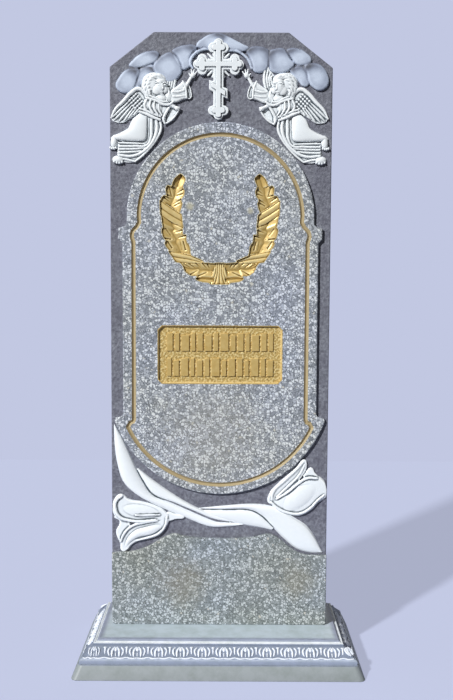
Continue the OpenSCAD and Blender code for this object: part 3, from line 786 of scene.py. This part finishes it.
# ---------------------------------------------------------------- the cross
def make_cross():
    """trefoil ends and a slanted foot bar, with a raised core inside a rim, and rays in its corners"""
    def disc(x, y, radius, top):
        bpy.ops.mesh.primitive_cylinder_add(vertices=40, radius=radius * MM, depth=(top + ROOT) * MM,
                                            location=(x * MM, y * MM, (top - ROOT) / 2 * MM))
        return bpy.context.object

    def bar(x1, y1, x2, y2, half, top):
        length = math.hypot(x2 - x1, y2 - y1)
        bpy.ops.mesh.primitive_cube_add(
            size=1, location=((x1 + x2) / 2 * MM, (y1 + y2) / 2 * MM, (top - ROOT) / 2 * MM),
            rotation=(0, 0, math.atan2(y2 - y1, x2 - x1)),
            scale=(length * MM, 2 * half * MM, (top + ROOT) * MM))
        return bpy.context.object

    parts = []
    # four arms, each a low wide form under a narrow high one: a bar, a tip, two side lobes and a neck
    for angle, reach in ((0, 51), (90, 51), (180, 51), (270, 109)):
        c, s = round(math.cos(math.radians(angle))), round(math.sin(math.radians(angle)))
        for half, top, lobe, side, spread in ((10.2, 8.2, 9.6, 11, 12.5), (4.6, 11.4, 5.6, 7.4, 12.5)):
            tip, back, neck = reach - 9.6, reach - 9.6 - 8.6, reach - spread - 4
            parts.append(bar(0, 0, c * (reach - 10), s * (reach - 10), half, top))
            parts.append(disc(c * tip, s * tip, lobe, top))
            for turn in (-1, 1):
                parts.append(disc(c * back - s * turn * side, s * back + c * turn * side, lobe, top))
            parts.append(disc(c * neck, s * neck, lobe, top))
    # the slanted foot bar
    for half, top, reach in ((9.6, 8.2, 18.5), (4.8, 11.4, 14)):
        parts.append(plate([(-reach, half - 40), (reach, half - 58), (reach, -half - 58),
                            (-reach, -half - 40)], top, edge=0.3, soft=False))
    # three rays in each corner
    for quarter in range(4):
        for angle, reach in ((27, 27), (45, 30), (63, 27)):
            a = math.radians(90 * quarter + angle)
            tip, start = (math.cos(a) * reach, math.sin(a) * reach), (math.cos(a) * 9, math.sin(a) * 9)
            parts.append(stroke([(*start, 3.0), ((start[0] + tip[0]) / 2, (start[1] + tip[1]) / 2, 2.7),
                                 (*tip, 1.9)], 3.2, flat=1))
    return press("cross", parts, voxel=0.7, soften=2)


# ---------------------------------------------------------------- a cherub
def lock(angle, knots, lift, flat=0.8):
    """a lock of hair; each knot is how far behind the angle it lies, the middle, half width and half height
    of the ring that it lies on, and its radius"""
    return stroke([(x + rx * math.cos(angle - back), y + ry * math.sin(angle - back), radius)
                   for back, x, y, rx, ry, radius in knots], lift, flat)


# a cherub is drawn to the right of the cross, its feet at y = 0 and its hand near the cross
def cherub_wings():
    """near wing: a plate, a thick leading edge, rows of scales and long feathers; then the far wing"""
    return [
        plate([(151, 140), (160, 148), (173, 147), (193, 126), (216, 96), (218, 88), (212, 83), (195, 82),
               (182, 90), (160, 105), (147, 116)], 3.2, edge=1.2),
        stroke([(146, 128, 2.8), (151, 141, 3.8), (163, 149, 4.2), (177, 142, 4.2), (194, 124, 3.8),
                (210, 108, 3.0), (219, 91, 1.8)], 4.2),
        [ball(168 + 4.4 * i - 3.9 * j, 138.5 - 4.3 * i - 5.0 * j, 2.9, 2.2, 3.0, turn=-45, lift=3.8)
         for i in range(4) for j in range(5)],
        [feather((183 - 3.6 * k, 123 - 3.4 * k), tip, 2.7, 3.4, lift=3.2)
         for k, tip in enumerate(((217, 91), (214, 85), (205, 82), (195, 82), (185, 89), (174, 96)))],
        plate([(114, 170), (109, 178), (102, 186), (93, 198), (88, 182), (87, 164), (91, 152),
               (100, 143)], 3, edge=1.2),
        [stroke([(93 + 4 * k, 150 + 3 * k, 1.6), (90 + 4.8 * k, 168 + 2 * k, 2.1), (x, y, 1.3)], 3.4)
         for k, (x, y) in enumerate(((91.5, 192), (97, 187), (102.5, 181), (107.5, 176)))],
    ]


def cherub_robe():
    """its ground, the thigh under smooth cloth, folds before it, pleats at the hem, bodice and sash"""
    return [
        plate([(121, 90), (117, 76), (119, 64), (136, 38), (150, 22), (170, 4), (204, 10), (206, 30),
               (204, 40), (160, 48), (150, 60), (146, 97)], 3.4, edge=1.5),
        blade([((146, 98), (162, 101), 5), ((144.5, 84), (177, 88), 8.5), ((144.5, 64), (185, 72), 10.5),
               ((148, 46), (198, 64), 10.5), ((172, 44), (209, 59), 9.5), ((200, 46), (217, 55), 8),
               ((213, 46), (221, 51), 5)], section=lambda s: dome(s) ** 0.45),
        stroke([(137, 91, 2.6), (137.5, 70, 3.2), (138.5, 52, 2.8), (147, 37, 2.2), (170, 35, 2.2),
                (203, 34.5, 2.2)], 4.8),
        stroke([(127.5, 86, 2.8), (126.5, 68, 3.6), (133, 48, 3.4), (150, 27.5, 2.8), (174, 15.5, 2.8),
                (203, 16.5, 2.4)], 4.6),
        stroke([(119.5, 84, 2.2), (118, 71, 2.6), (125, 53, 2.8), (142, 30, 2.5), (158, 14, 2.3),
                (171, 4, 1.9)], 4),
        stroke([(171, 4, 1.9), (185, 7.5, 2.2), (204, 10.5, 2.2)], 4),
        stroke([(150, 39.6, 1.0), (175, 40.6, 1.7), (205, 41.4, 1.5)], 4.6),
        stroke([(148, 31.2, 1.2), (175, 29.2, 1.9), (203, 28.6, 1.9)], 4.6),
        stroke([(158, 25, 1.2), (180, 23, 1.9), (203, 22.4, 1.9)], 4.4),
        ball(131, 111, 20, 18, 9.5),
        ball(143, 117, 13, 16, 9, turn=-10),
        stroke([(147, 126, 2.2), (151, 114, 2.6), (147, 105, 2)], 8),
        stroke([(139, 124, 2.2), (140.5, 112, 2.6), (134, 100, 2)], 9.4),
        stroke([(131, 121, 2), (131.5, 110, 2.5), (124, 97, 1.8)], 9.4),
        stroke([(122, 118, 1.8), (122.5, 108, 2.3), (116, 96, 1.6)], 7.6),
        stroke([(161, 103, 2.2), (149, 99, 2.8), (136, 93, 3), (120, 87, 2.4)], 7.6),
        stroke([(159, 108.5, 1.8), (147, 104.5, 2.2), (133, 98.5, 2.2), (119, 93, 1.8)], 8),
    ]


def cherub_arms():
    """near arm: sleeve, its open mouth, forearm and hand; far arm: bell sleeve, cuff, forearm and hand"""
    return [
        plate([(122, 121), (99, 119), (103, 107), (108, 96), (112, 83), (117, 90), (125, 100)], 6, edge=3),
        plate([(98, 115), (84, 103), (92, 94), (101, 85), (110, 79), (113, 88), (107, 102)], 1.5,
              edge=0.8),
        stroke([(99, 116, 2.4), (107.5, 102, 2.9), (113, 89, 2.6), (110.5, 80, 1.9)], 5.4),
        stroke([(83.5, 104, 1.6), (90, 95, 2.1), (99, 86, 2.2), (110, 79.5, 2)], 4),
        stroke([(118, 118.5, 4.2), (107, 118, 4.2), (98, 116, 3.8), (89, 112, 3.2)], 6),
        ball(85.5, 110, 6, 4.6, 4.6, turn=20, lift=5),
        [stroke([(84, 112.5 - 2.6 * k, 1.4), (79.5 + 0.8 * k, 111.5 - 3.1 * k, 1.15)], 7)
         for k in range(3)],
        plate([(100, 140), (97, 147), (88, 153), (80, 159), (73, 164), (68, 150), (66, 132), (76, 127),
               (92, 122), (99, 126)], 6.5, edge=3.6),
        stroke([(94, 143, 2.2), (83, 143, 2.6), (72, 146, 2)], 6.2),
        stroke([(93, 134, 2.2), (82, 134, 2.4), (70, 136, 1.8)], 6),
        plate([(72, 163), (60, 154), (57.5, 142), (59, 131), (67, 131), (69, 148)], 1.6, edge=0.8),
        stroke([(74, 164, 1.8), (68.5, 150, 2.2), (66.5, 131, 2)], 6),
        stroke([(62, 156, 1.2), (58, 144, 1.5), (59, 131, 1.4), (66, 130.5, 1.4)], 3.2),
        stroke([(72, 149, 3.6), (65, 159, 3.6), (58, 171, 3)], 4.4),
        ball(54, 175.5, 5.2, 6, 4.2, turn=30, lift=4.6),
        [stroke([(56 - 2.8 * k, 179 - 1.2 * k, 1.7), (x, y, 1.25)], 6.4)
         for k, (x, y) in enumerate(((57, 188.5), (51, 188), (45, 184)))],
        stroke([(58.5, 174, 1.6), (62.5, 180, 1.2)], 6),
    ]


def cherub_neck():
    """neck, far shoulder and the collar's rolled folds"""
    return [
        ball(103, 134, 11, 14, 7.5, turn=10),
        stroke([(104, 150, 2.2), (102, 139, 2.8), (107, 126, 2.4)], 5.4),
        ball(118, 129, 13, 10, 8, lift=2),
        stroke([(147, 130, 2.4), (137, 127.5, 2.6), (126, 124, 2.8), (113, 117.5, 2.8), (102, 117, 2.4),
                (93, 123, 2.2)], 8.6),
        stroke([(139, 134, 1.8), (128, 129.5, 2.2), (117, 123.5, 2.2), (105, 123, 1.8)], 8.6),
    ]


def cherub_head():
    """long wavy locks, six thick and seven finer, combed back from a calm child's face"""
    thick = [(0, 127, 154, 16, 17, 4.2), (0.2, 130, 154, 20, 21.5, 5.6), (0.5, 131, 154, 21.5, 23.5, 4.2)]
    fine = [(0, 121, 153, 15, 18.5, 2.2), (0.1, 124, 153.5, 18.5, 21, 3.7), (0.5, 127, 154, 20, 21.5, 2.8)]
    return [
        ball(136, 157, 22.5, 26, 10, turn=-12),
        ball(122, 171, 17, 10, 10, turn=20),
        [lock(math.radians(100 - 25 * k), thick, 5.4, flat=0.7) for k in range(6)],
        [lock(math.radians(108 - 21 * k), fine, 7.8) for k in range(7)],
        ball(120, 152, 16, 19.5, 12, turn=6, lift=0.5),
        ball(119, 163, 13.5, 9.5, 12),
        ball(126.5, 146, 9, 9.5, 2.8, lift=8.4),
        ball(110.5, 146, 6, 7, 2.8, lift=7.4),
        ball(116.8, 136.5, 5.6, 4.6, 3.4, lift=5.4),
        stroke([(115.5, 158, 1.4), (114.6, 152, 1.7), (114, 148.4, 2.3)], 11.2),
        stroke([(128.5, 159, 1.2), (123, 160.6, 1.5), (117.5, 159, 1.2)], 11.4),
        stroke([(113.5, 159.2, 1.2), (109.5, 160.4, 1.3), (106, 159, 1.1)], 10.6),
        ball(122.8, 155, 3.1, 1.7, 1.6, lift=11.2),
        ball(109.6, 155.2, 2.4, 1.6, 1.6, lift=10.2),
        stroke([(113, 142.6, 0.9), (116.4, 142.2, 1.2), (120.4, 142.8, 0.9)], 10.5),
        stroke([(114, 139.8, 0.9), (116.8, 139.2, 1.2), (119.4, 139.8, 0.9)], 9.2),
    ]


def cherub_feet():
    """both feet, and a toe of each by turns"""
    return [
        ball(213, 44, 7.5, 14.5, 7, turn=8, lift=1),
        ball(205, 8, 12.5, 8.5, 7, turn=4, lift=1),
        [[ball(209.5 + 3.8 * k, 31.5 - 1.8 * k + 0.6 * k * k, 2.2, 2.8, 3.2, lift=3.6),
          ball(197 + 5.4 * k, 1.2 + 0.9 * (k - 1.4) ** 2, 2.4, 2.8, 3.4, lift=4)] for k in range(4)],
    ]


def make_cherub(mirrored):
    """all of a cherub in one skin, mirrored for the left one"""
    parts = [cherub_wings(), cherub_robe(), cherub_arms(), cherub_neck(), cherub_head(), cherub_feet()]
    cherub = press("cherub", parts, voxel=0.75, soften=2, mirror=mirrored)
    return note_hollows(trim(cherub), depth=0.6)


# ---------------------------------------------------------------- clouds
# each cloud is a bank of pillows: how high each stands and its outline, lying close to its neighbours
CLOUDS = {
    "left": [
        (6.2, [(-209, 156), (-203, 170), (-191, 184), (-174, 189), (-163, 186), (-167, 166), (-175, 148),
            (-187, 141), (-201, 144)]),
        (5.0, [(-181, 193), (-173, 207), (-160, 217), (-143, 223), (-125, 221), (-122, 213), (-129, 203),
            (-142, 197), (-160, 191)]),
        (4.2, [(-160, 188), (-149, 193), (-135, 195), (-132, 183), (-144, 170), (-159, 156), (-168, 150),
            (-165, 168)]),
        (5.6, [(-131, 184), (-133, 193), (-126, 205), (-113, 216), (-99, 220), (-87, 211), (-80, 197),
            (-77, 184), (-82, 174), (-96, 164), (-118, 169)]),
        (4.8, [(-95, 223), (-87, 230), (-69, 235), (-53, 235), (-47, 228), (-56, 219), (-61, 209),
            (-60, 195), (-67, 189), (-74, 188), (-78, 199), (-85, 212)]),
        (5.6, [(-46, 235), (-34, 249), (-18, 257), (0, 259), (10, 252), (8, 236), (-13, 229), (-28, 227),
            (-40, 230)])],
    "right": [
        (5.4, [(-4, 256), (6, 257), (18, 252), (34, 244), (48, 237), (57, 231), (50, 224), (36, 224),
            (18, 228), (2, 234)]),
        (5.6, [(54, 223), (60, 230), (77, 233), (91, 230), (98, 225), (98, 204), (93, 188), (82, 183),
            (69, 185), (65, 198), (61, 210)]),
        (6.0, [(100, 223), (111, 228), (129, 228), (135, 221), (142, 208), (149, 198), (143, 190),
            (133, 184), (118, 182), (104, 186), (100, 197)]),
        (4.8, [(134, 225), (143, 230), (159, 229), (174, 221), (184, 208), (180, 200), (169, 197),
            (156, 198), (145, 210)]),
        (4.2, [(143, 187), (153, 194), (166, 195), (173, 187), (176, 174), (178, 158), (168, 156),
            (157, 168), (146, 177)]),
        (6.6, [(170, 194), (179, 199), (192, 200), (205, 195), (216, 180), (219, 163), (212, 152),
            (200, 148), (189, 153), (180, 163), (176, 178)])],
}
# the rolled rims of cloud beside the arms of the cross
CURLS = {
    "left": [(-17, 226, 1.8), (-31, 227, 2.6), (-45, 222, 2.9), (-56, 211, 2.9), (-59, 198, 2.7),
        (-54, 189, 2)],
    "right": [(17, 225, 1.8), (33, 224, 2.6), (48, 216, 2.9), (59, 204, 2.9), (64, 190, 2.4)],
}


def make_clouds(side):
    """the bank of pillows, and an attribute that keeps how thickly each point was sprayed"""
    parts = []
    for top, outline in CLOUDS[side]:
        middle = np.mean(outline, axis=0)
        swollen = [tuple(middle + (np.array(corner) - middle) * 1.05) for corner in outline]
        parts.append(plate(swollen, top, edge=min(4.4, top - 0.4)))
    parts.append(stroke(CURLS[side], 3.4, flat=1.1))
    bank = trim(press("clouds", parts, voxel=1.1, soften=7), floor=-0.9)
    points = read(bank.data.vertices, "co", 3)[:, :2] / MM
    nearest, coat = np.full(len(points), 9.0), np.ones(len(points))
    spots = [(np.min(outline, axis=0), np.max(outline, axis=0)) for _, outline in CLOUDS[side]]
    spots += [(np.array((x - 7, y - 7)), np.array((x + 7, y + 7))) for x, y, _ in CURLS[side]]
    for low, high in spots:
        place = (points - (low + high) / 2) / ((high - low) / 2)
        away = np.hypot(*place.T)
        faded = np.clip((away - 0.25) / 0.85, 0, 1) * (0.55 + 0.6 * np.clip(place[:, 1] + 0.3, 0, 1))
        coat = np.where(away < nearest, 1.05 - 1.05 * faded, coat)
        nearest = np.minimum(nearest, away)
    keep(bank, "spray", np.clip(coat, 0, 1))
    return note_hollows(bank, depth=0.7)


# ---------------------------------------------------------------- lilies and long leaves
# each is drawn by heights above the ground
def left_lily():
    """two spread petals with rolled edges, the lip that joins them at their tips, and the stalk"""
    return [
        plate([(-207, 344), (-218, 336), (-223, 318), (-219, 298), (-205, 288), (-165, 285), (-125, 288),
               (-107, 296), (-112, 307), (-132, 319), (-160, 328), (-190, 334),
               (-198, 341)], 6, edge=2.6),
        ball(-164, 309, 52, 19, 6.8, turn=-9, lift=1.4),
        stroke([(-203, 341, 2.4), (-215, 331, 3), (-217, 313, 3.2), (-209, 297, 3), (-190, 289, 2.8),
                (-160, 287, 2.5), (-134, 290, 1.8)], 7),
        stroke([(-176, 300, 1.2), (-150, 300.5, 1.6), (-124, 301, 1.2)], 8.4),
        plate([(-128, 289), (-107, 294), (-111, 275), (-125, 258), (-148, 249), (-168, 245), (-184, 236),
               (-193, 225), (-203, 222), (-207, 240), (-199, 262), (-181, 277),
               (-155, 285)], 6, edge=2.6),
        blade([((-126, 288), (-116, 268), 6), ((-150, 280), (-140, 256), 9),
               ((-175, 272), (-168, 250), 9), ((-193, 256), (-184, 240), 8),
               ((-202, 236), (-194, 228), 6)]),
        stroke([(-130, 288.5, 1.8), (-158, 284, 2.2), (-183, 276.5, 2.6), (-199, 261, 2.6),
                (-207, 243, 2)], 6.6),
        stroke([(-110, 295, 2), (-113, 278, 2.2), (-127, 261, 2.4), (-150, 252, 2.2),
                (-172, 246, 1.6)], 6),
        plate([(-220, 296), (-209, 286), (-216.5, 263), (-208, 240), (-200, 222), (-190, 232),
               (-194, 258), (-186, 276), (-194, 290), (-206, 295)], 4, edge=1.5),
        plate([(-110, 305), (-92, 302), (-73, 297), (-92, 291), (-108, 289)], 5, edge=1.6),
    ]


def right_lily():
    """the far petal with its rims, the tip that shows between, and the near petal's full cup"""
    return [
        plate([(103, 326), (104, 346), (118, 364), (140, 384), (160, 402), (177, 419), (182, 404),
               (174, 386), (152, 360), (126, 336)], 5, edge=1.8),
        stroke([(109, 334, 2), (112, 350, 2.6), (135, 374, 2.8), (160, 398, 2.6), (176, 416, 1.6)], 4.4),
        stroke([(120, 340, 1.8), (145, 364, 2.2), (166, 386, 2.2), (177, 408, 1.4)], 5),
        plate([(176, 380), (183, 396), (191, 402), (199, 391), (205, 381)], 4.5, edge=1.6),
        blade([((106, 331), (106, 326), 4.5), ((120, 338), (121, 310), 6), ((140, 349), (145, 301), 6.6),
               ((160, 366), (168, 299), 6.8), ((182, 382), (191, 310), 6.8),
               ((203, 385), (207, 327), 6.4), ((219, 374), (222, 337), 5.6),
               ((224, 357), (224, 348), 4.5)], section=lambda s: dome(s) ** 0.4),
        ball(167, 339, 62, 29, 11, turn=36, lift=-2),
        stroke([(120, 336, 2), (143, 351, 2.8), (163, 368, 3), (183, 380, 3), (203, 380, 2.4)], 6.8),
        stroke([(108, 328, 1.8), (124, 315, 2.6), (146, 306, 2.8), (168, 305, 2.8), (189, 316, 2.8),
                (206, 334, 2.4), (218, 344, 2)], 6),
    ]


def left_leaf():
    """the long leaf that comes down from the upper left, and the shorter one over it"""
    return [
        blade([((-220, 491), (-218, 490), 3), ((-219, 450), (-200, 458), 7),
               ((-213, 405), (-179, 412), 8.5), ((-199, 366), (-161, 374), 8.5),
               ((-167, 338), (-139, 342), 8), ((-122, 315), (-97, 324), 7), ((-72, 294), (-52, 304), 6),
               ((-22, 275), (-8, 286), 5.5), ((18, 275), (20, 284), 4.5), ((50, 279), (50, 281), 3)]),
        blade([((-172, 397), (-169, 398), 3), ((-160, 373), (-140, 375), 5.5),
               ((-138, 343), (-105, 350), 6.5), ((-95, 326), (-70, 328), 6.5),
               ((-50, 307), (-36, 311), 6.5), ((-14, 292), (0, 297), 5.5), ((22, 285), (32, 290), 3)]),
    ]


def right_leaf():
    """the leaf that is broad at the lower right and tapers to the left, and the fold below it"""
    return [
        blade([((216, 220), (217, 221), 3), ((190, 220), (202, 252), 8.5), ((161, 229), (183, 278), 10),
               ((133, 252), (158, 295), 10), ((109, 277), (128, 312), 9.5), ((88, 299), (98, 322), 9),
               ((60, 312), (60, 324), 7.5), ((10, 312), (10, 320), 5), ((-44, 313), (-44, 314.5), 1.5)],
               section=lambda s: dome(s) * (0.72 + 0.28 * s)),
        blade([((-42, 307), (-40, 310), 3), ((-20, 296), (-10, 311), 4.5), ((20, 286), (30, 312), 5.5),
               ((55, 278), (62, 311), 6), ((85, 273), (86, 300), 6), ((110, 268), (114, 274), 3.5)]),
    ]


# ---------------------------------------------------------------- the base
BAND_LOW, BAND_TOP = (24, 37), (4, 56)    # both edges of the leaf band: distance out from the bead, height


def make_base():
    """the foot slab with its rounded corners, and on it the mouldings, drawn up from a block's top face"""
    w, h, r = LEDGE_X + SKIRT, LEDGE_Y + SKIRT, 12
    high, lean = 27, 11        # the foot's height, and how far its sides lean in
    corners = ((1, 1, 90), (1, -1, 0), (-1, -1, -90), (-1, 1, 180))
    outline = [point for x, y, start in corners
               for point in arc(x * (w - r), y * (h - r), r, start, start - 90, 6)]
    foot = plate(outline, high, edge=1.6, bottom=0, soft=False)
    for vertex in foot.data.vertices:
        if vertex.co.z > 20 * MM:
            vertex.co.x *= (w - lean) / w
            vertex.co.y *= (h - lean) / h

    out, low, height = 27, 5, 25    # the block's sides, distance out from the bead, its foot and its top
    bpy.ops.mesh.primitive_cube_add(size=1, location=(0, 0, (low + height) / 2 * MM))
    moulding = bpy.context.object
    moulding.scale = Vector((2 * (LEDGE_X + out), 2 * (LEDGE_Y + out), height - low)) * MM
    settle(moulding)
    bpy.ops.object.mode_set(mode="EDIT")
    bpy.ops.mesh.select_mode(type="FACE")
    bpy.ops.mesh.select_all(action="DESELECT")
    bpy.ops.object.mode_set(mode="OBJECT")
    for face in moulding.data.polygons:
        face.select = face.normal.z > 0.9
    bpy.ops.object.mode_set(mode="EDIT")
    for next_out, next_height in (
            (27, 34.5), (25.5, 36), (24, 38), (22.5, 37.5), BAND_LOW, BAND_TOP, (2, 57), (2, 60.5), (1, 62),
            (-1.5, 62), (-2.5, 60.8), (-6, 65), (-8, 66)):
        step = (0, 0, (next_height - height) * MM)
        bpy.ops.mesh.extrude_region_move(TRANSFORM_OT_translate={"value": step})
        wider = [(half + next_out) / (half + out) for half in (LEDGE_X, LEDGE_Y)]
        bpy.ops.transform.resize(value=(*wider, 1), center_override=(0, 0, 0))
        out, height = next_out, next_height
    bpy.ops.object.mode_set(mode="OBJECT")
    modify(moulding, "BEVEL", width=0.7 * MM, segments=2, limit_method="ANGLE",
           angle_limit=math.radians(20))
    return join([moulding, foot])


PITCH = 43.3                              # from one leaf of the band to the next


def ornament_leaf():
    """a fan of four petals round a bud, hanging from y = 0"""
    parts = [ball(0, -7.5, 2.8, 4.6, 2.6, lift=0.3),
             stroke([(0, -14, 1.3), (0, -22, 0.9)], 0.2, flat=1)]
    for side in (-1, 1):
        parts.append(stroke([(side * 2.4, -3.2, 1.6), (side * 6.4, -9, 2.5), (side * 7.4, -16, 2.4),
                             (side * 7, -22.5, 1.3)], 0.3, flat=1))
        parts.append(stroke([(side * 10.6, -2.8, 1.4), (side * 14.6, -8.5, 2.2), (side * 14.4, -15, 2),
                             (side * 12.2, -20.5, 1.1)], 0.3, flat=1))
    return parts


def ornament_dart():
    """a T-shaped dart between two leaves"""
    return [stroke([(-3.4, -3.1, 1.4), (0, -3.3, 1.8), (3.4, -3.1, 1.4)], 0.2, flat=1),
            stroke([(0, -4, 2.2), (0, -11, 1.7), (0, -17, 0.9)], 0.3, flat=1)]


def ornament_rim():
    """one wave of the rim that runs below the leaves"""
    return [stroke([(-21.7, -24.8, 1.3), (-11, -26, 1.6), (0, -24.4, 1.7), (11, -26, 1.6),
                    (21.7, -24.8, 1.3)], 0.2, flat=1)]


def make_ornament():
    """leaves and darts by turns over a waved rim on all four sides, with a narrow leaf at two corners"""
    leaf, dart, rim = [modify(press("ornament", parts, voxel=0.7, soften=2), "DECIMATE", ratio=0.26)
                       for parts in (ornament_leaf(), ornament_dart(), ornament_rim())]
    run, rise = BAND_LOW[0] - BAND_TOP[0], BAND_TOP[1] - BAND_LOW[1]
    copies = []

    def place(form, along, out, turn, slope, squeeze=1.0):
        twin = copy_of(form)
        twin.data.transform(
            Matrix.Rotation(math.radians(turn), 4, "Z")
            @ Matrix.Translation(Vector((along, -out, BAND_TOP[1])) * MM)
            @ Matrix.Rotation(slope, 4, "X") @ Matrix.Scale(squeeze, 4, (1, 0, 0)))
        copies.append(twin)

    slope = math.atan2(rise, run)
    for half, reach, turns, shift in ((LEDGE_X, LEDGE_Y, (0, 180), 11), (LEDGE_Y, LEDGE_X, (90, 270), 0)):
        count = int(2 * half / PITCH) - (half == LEDGE_Y)
        for turn in turns:
            for i in range(count):
                place(leaf, (i - (count - 1) / 2) * PITCH + shift, reach + BAND_TOP[0], turn, slope)
            for i in range(count + 1):
                place(dart, (i - count / 2) * PITCH + shift, reach + BAND_TOP[0], turn, slope)
                place(rim, (i - count / 2) * PITCH + shift, reach + BAND_TOP[0], turn, slope)
            if half == LEDGE_X:
                place(leaf, -(count + 1) / 2 * PITCH + shift, reach + BAND_TOP[0], turn, slope, 0.7)
                place(rim, -(count / 2 + 0.75) * PITCH + shift, reach + BAND_TOP[0], turn, slope, 0.5)
    lean = math.atan2(rise, run * math.sqrt(2))
    out = (LEDGE_X + LEDGE_Y + 2 * BAND_TOP[0]) * math.sqrt(0.5)
    along = (LEDGE_X - LEDGE_Y) * math.sqrt(0.5)
    for turn in (45, 225):
        place(leaf, along, out, turn, lean, 0.5)
    for form in (leaf, dart, rim):
        bpy.data.objects.remove(form)
    return join(copies)


# ---------------------------------------------------------------- making and fastening everything
finish_piece(make_slab(), "slab", dark_paint, node="stele", smooth=35)

panel, line, wreath, plaque = make_panel()
field, strokes = make_plaque(plaque)
finish_piece(hang(panel), "terrazzo_panel", panel_stone, smooth=30)
finish_piece(hang(line), "gold_line", old_gold_paint, smooth=25)
finish_piece(note_hollows(hang(wreath), depth=1.2, rounds=20), "oak_wreath", gold_paint)
finish_piece(hang(plaque), "plaque_rim", gold_paint, smooth=30)
finish_piece(note_hollows(hang(field), depth=0.9, rounds=8), "plaque_field", gold_paint)
finish_piece(hang(strokes), "plaque_strokes", gold_paint, smooth=30)
finish_piece(hang(make_block()), "lower_block", block_stone, smooth=30)

cross = note_hollows(trim(make_cross()), depth=0.9)
finish_piece(hang(cross, x=CENTRE - 2.5, y=FEET + 197), "cross", white_paint)

for side, mirrored in (("right", False), ("left", True)):
    cherub = hang(make_cherub(mirrored), x=CENTRE, y=FEET)
    finish_piece(cherub, side + "_cherub", white_paint)
    finish_piece(hang(make_clouds(side), x=CENTRE, y=FEET), side + "_clouds", sky_paint)

for name, parts in (("left_lily", left_lily), ("right_lily", right_lily), ("left_leaf", left_leaf),
                    ("right_leaf", right_leaf)):
    form = note_hollows(trim(press(name, parts(), voxel=1.1, soften=2)), depth=0.5, rounds=10)
    finish_piece(hang(form), name, white_paint)

finish_piece(make_base(), "base_moulding", blue_paint, node="base", smooth=35)
finish_piece(note_hollows(make_ornament(), depth=0.6, rounds=4), "base_ornament", trim_paint)


# ---------------------------------------------------------------- floor, light and camera
BACKDROP = "c2c8e2"


def make_floor():
    """a light table of pale lilac, in the backdrop's colour"""
    bpy.ops.mesh.primitive_plane_add(size=1, location=(0, 0.75, 0))
    floor = bpy.context.object
    floor.scale = (3.6, 2.5, 1)
    settle(floor)
    floor.name = "floor"
    material, tree, shader, _ = new_material("lilac_light_table")
    feed(tree, shader, {"Base Color": linear("818697"), "Roughness": 1.0, "Specular IOR Level": 0.0,
                        "Emission Color": linear("a4a9c0"), "Emission Strength": 1.0})
    floor.data.materials.append(material)


def make_light():
    """a clear sun from the upper left, a weak fill from behind, and an even sky"""
    for name, direction, strength, spread in (
            ("key", (0.53, 0.66, -0.53), 3.9, 3), ("fill", (-0.15, -0.85, -0.45), 0.35, 40)):
        bpy.ops.object.light_add(type="SUN")
        lamp = bpy.context.object
        lamp.name = name
        lamp.data.energy = strength
        lamp.data.angle = math.radians(spread)
        lamp.rotation_euler = Vector(direction).to_track_quat("-Z", "Y").to_euler()
    world = bpy.context.scene.world or bpy.data.worlds.new("studio")
    bpy.context.scene.world = world
    world.use_nodes = True
    tree = world.node_tree
    tree.nodes.clear()
    seen = add(tree, "LightPath")
    sky = add(tree, "Background", {"Color": linear("ffffff"), "Strength": 0.1})
    paper = add(tree, "Background", {"Color": linear(BACKDROP), "Strength": 1.0})
    both = add(tree, "MixShader", {0: seen.outputs["Is Camera Ray"], 1: sky, 2: paper})
    add(tree, "OutputWorld", {"Surface": both})


def make_camera():
    """straight on, a little above the middle and tipped down a few degrees"""
    bpy.ops.object.camera_add(location=(0.0133, -1.873, 0.7956))
    camera = bpy.context.object
    camera.data.sensor_width = 36
    camera.data.lens = 46.29
    tip_down, roll = 0.0803, 0.0048
    camera.rotation_euler = (Matrix.Rotation(math.pi / 2 - tip_down, 4, "X")
                             @ Matrix.Rotation(roll, 4, "Z")).to_euler()
    bpy.context.scene.camera = camera


make_floor()
make_light()
make_camera()
bpy.context.scene.view_settings.view_transform = "Standard"
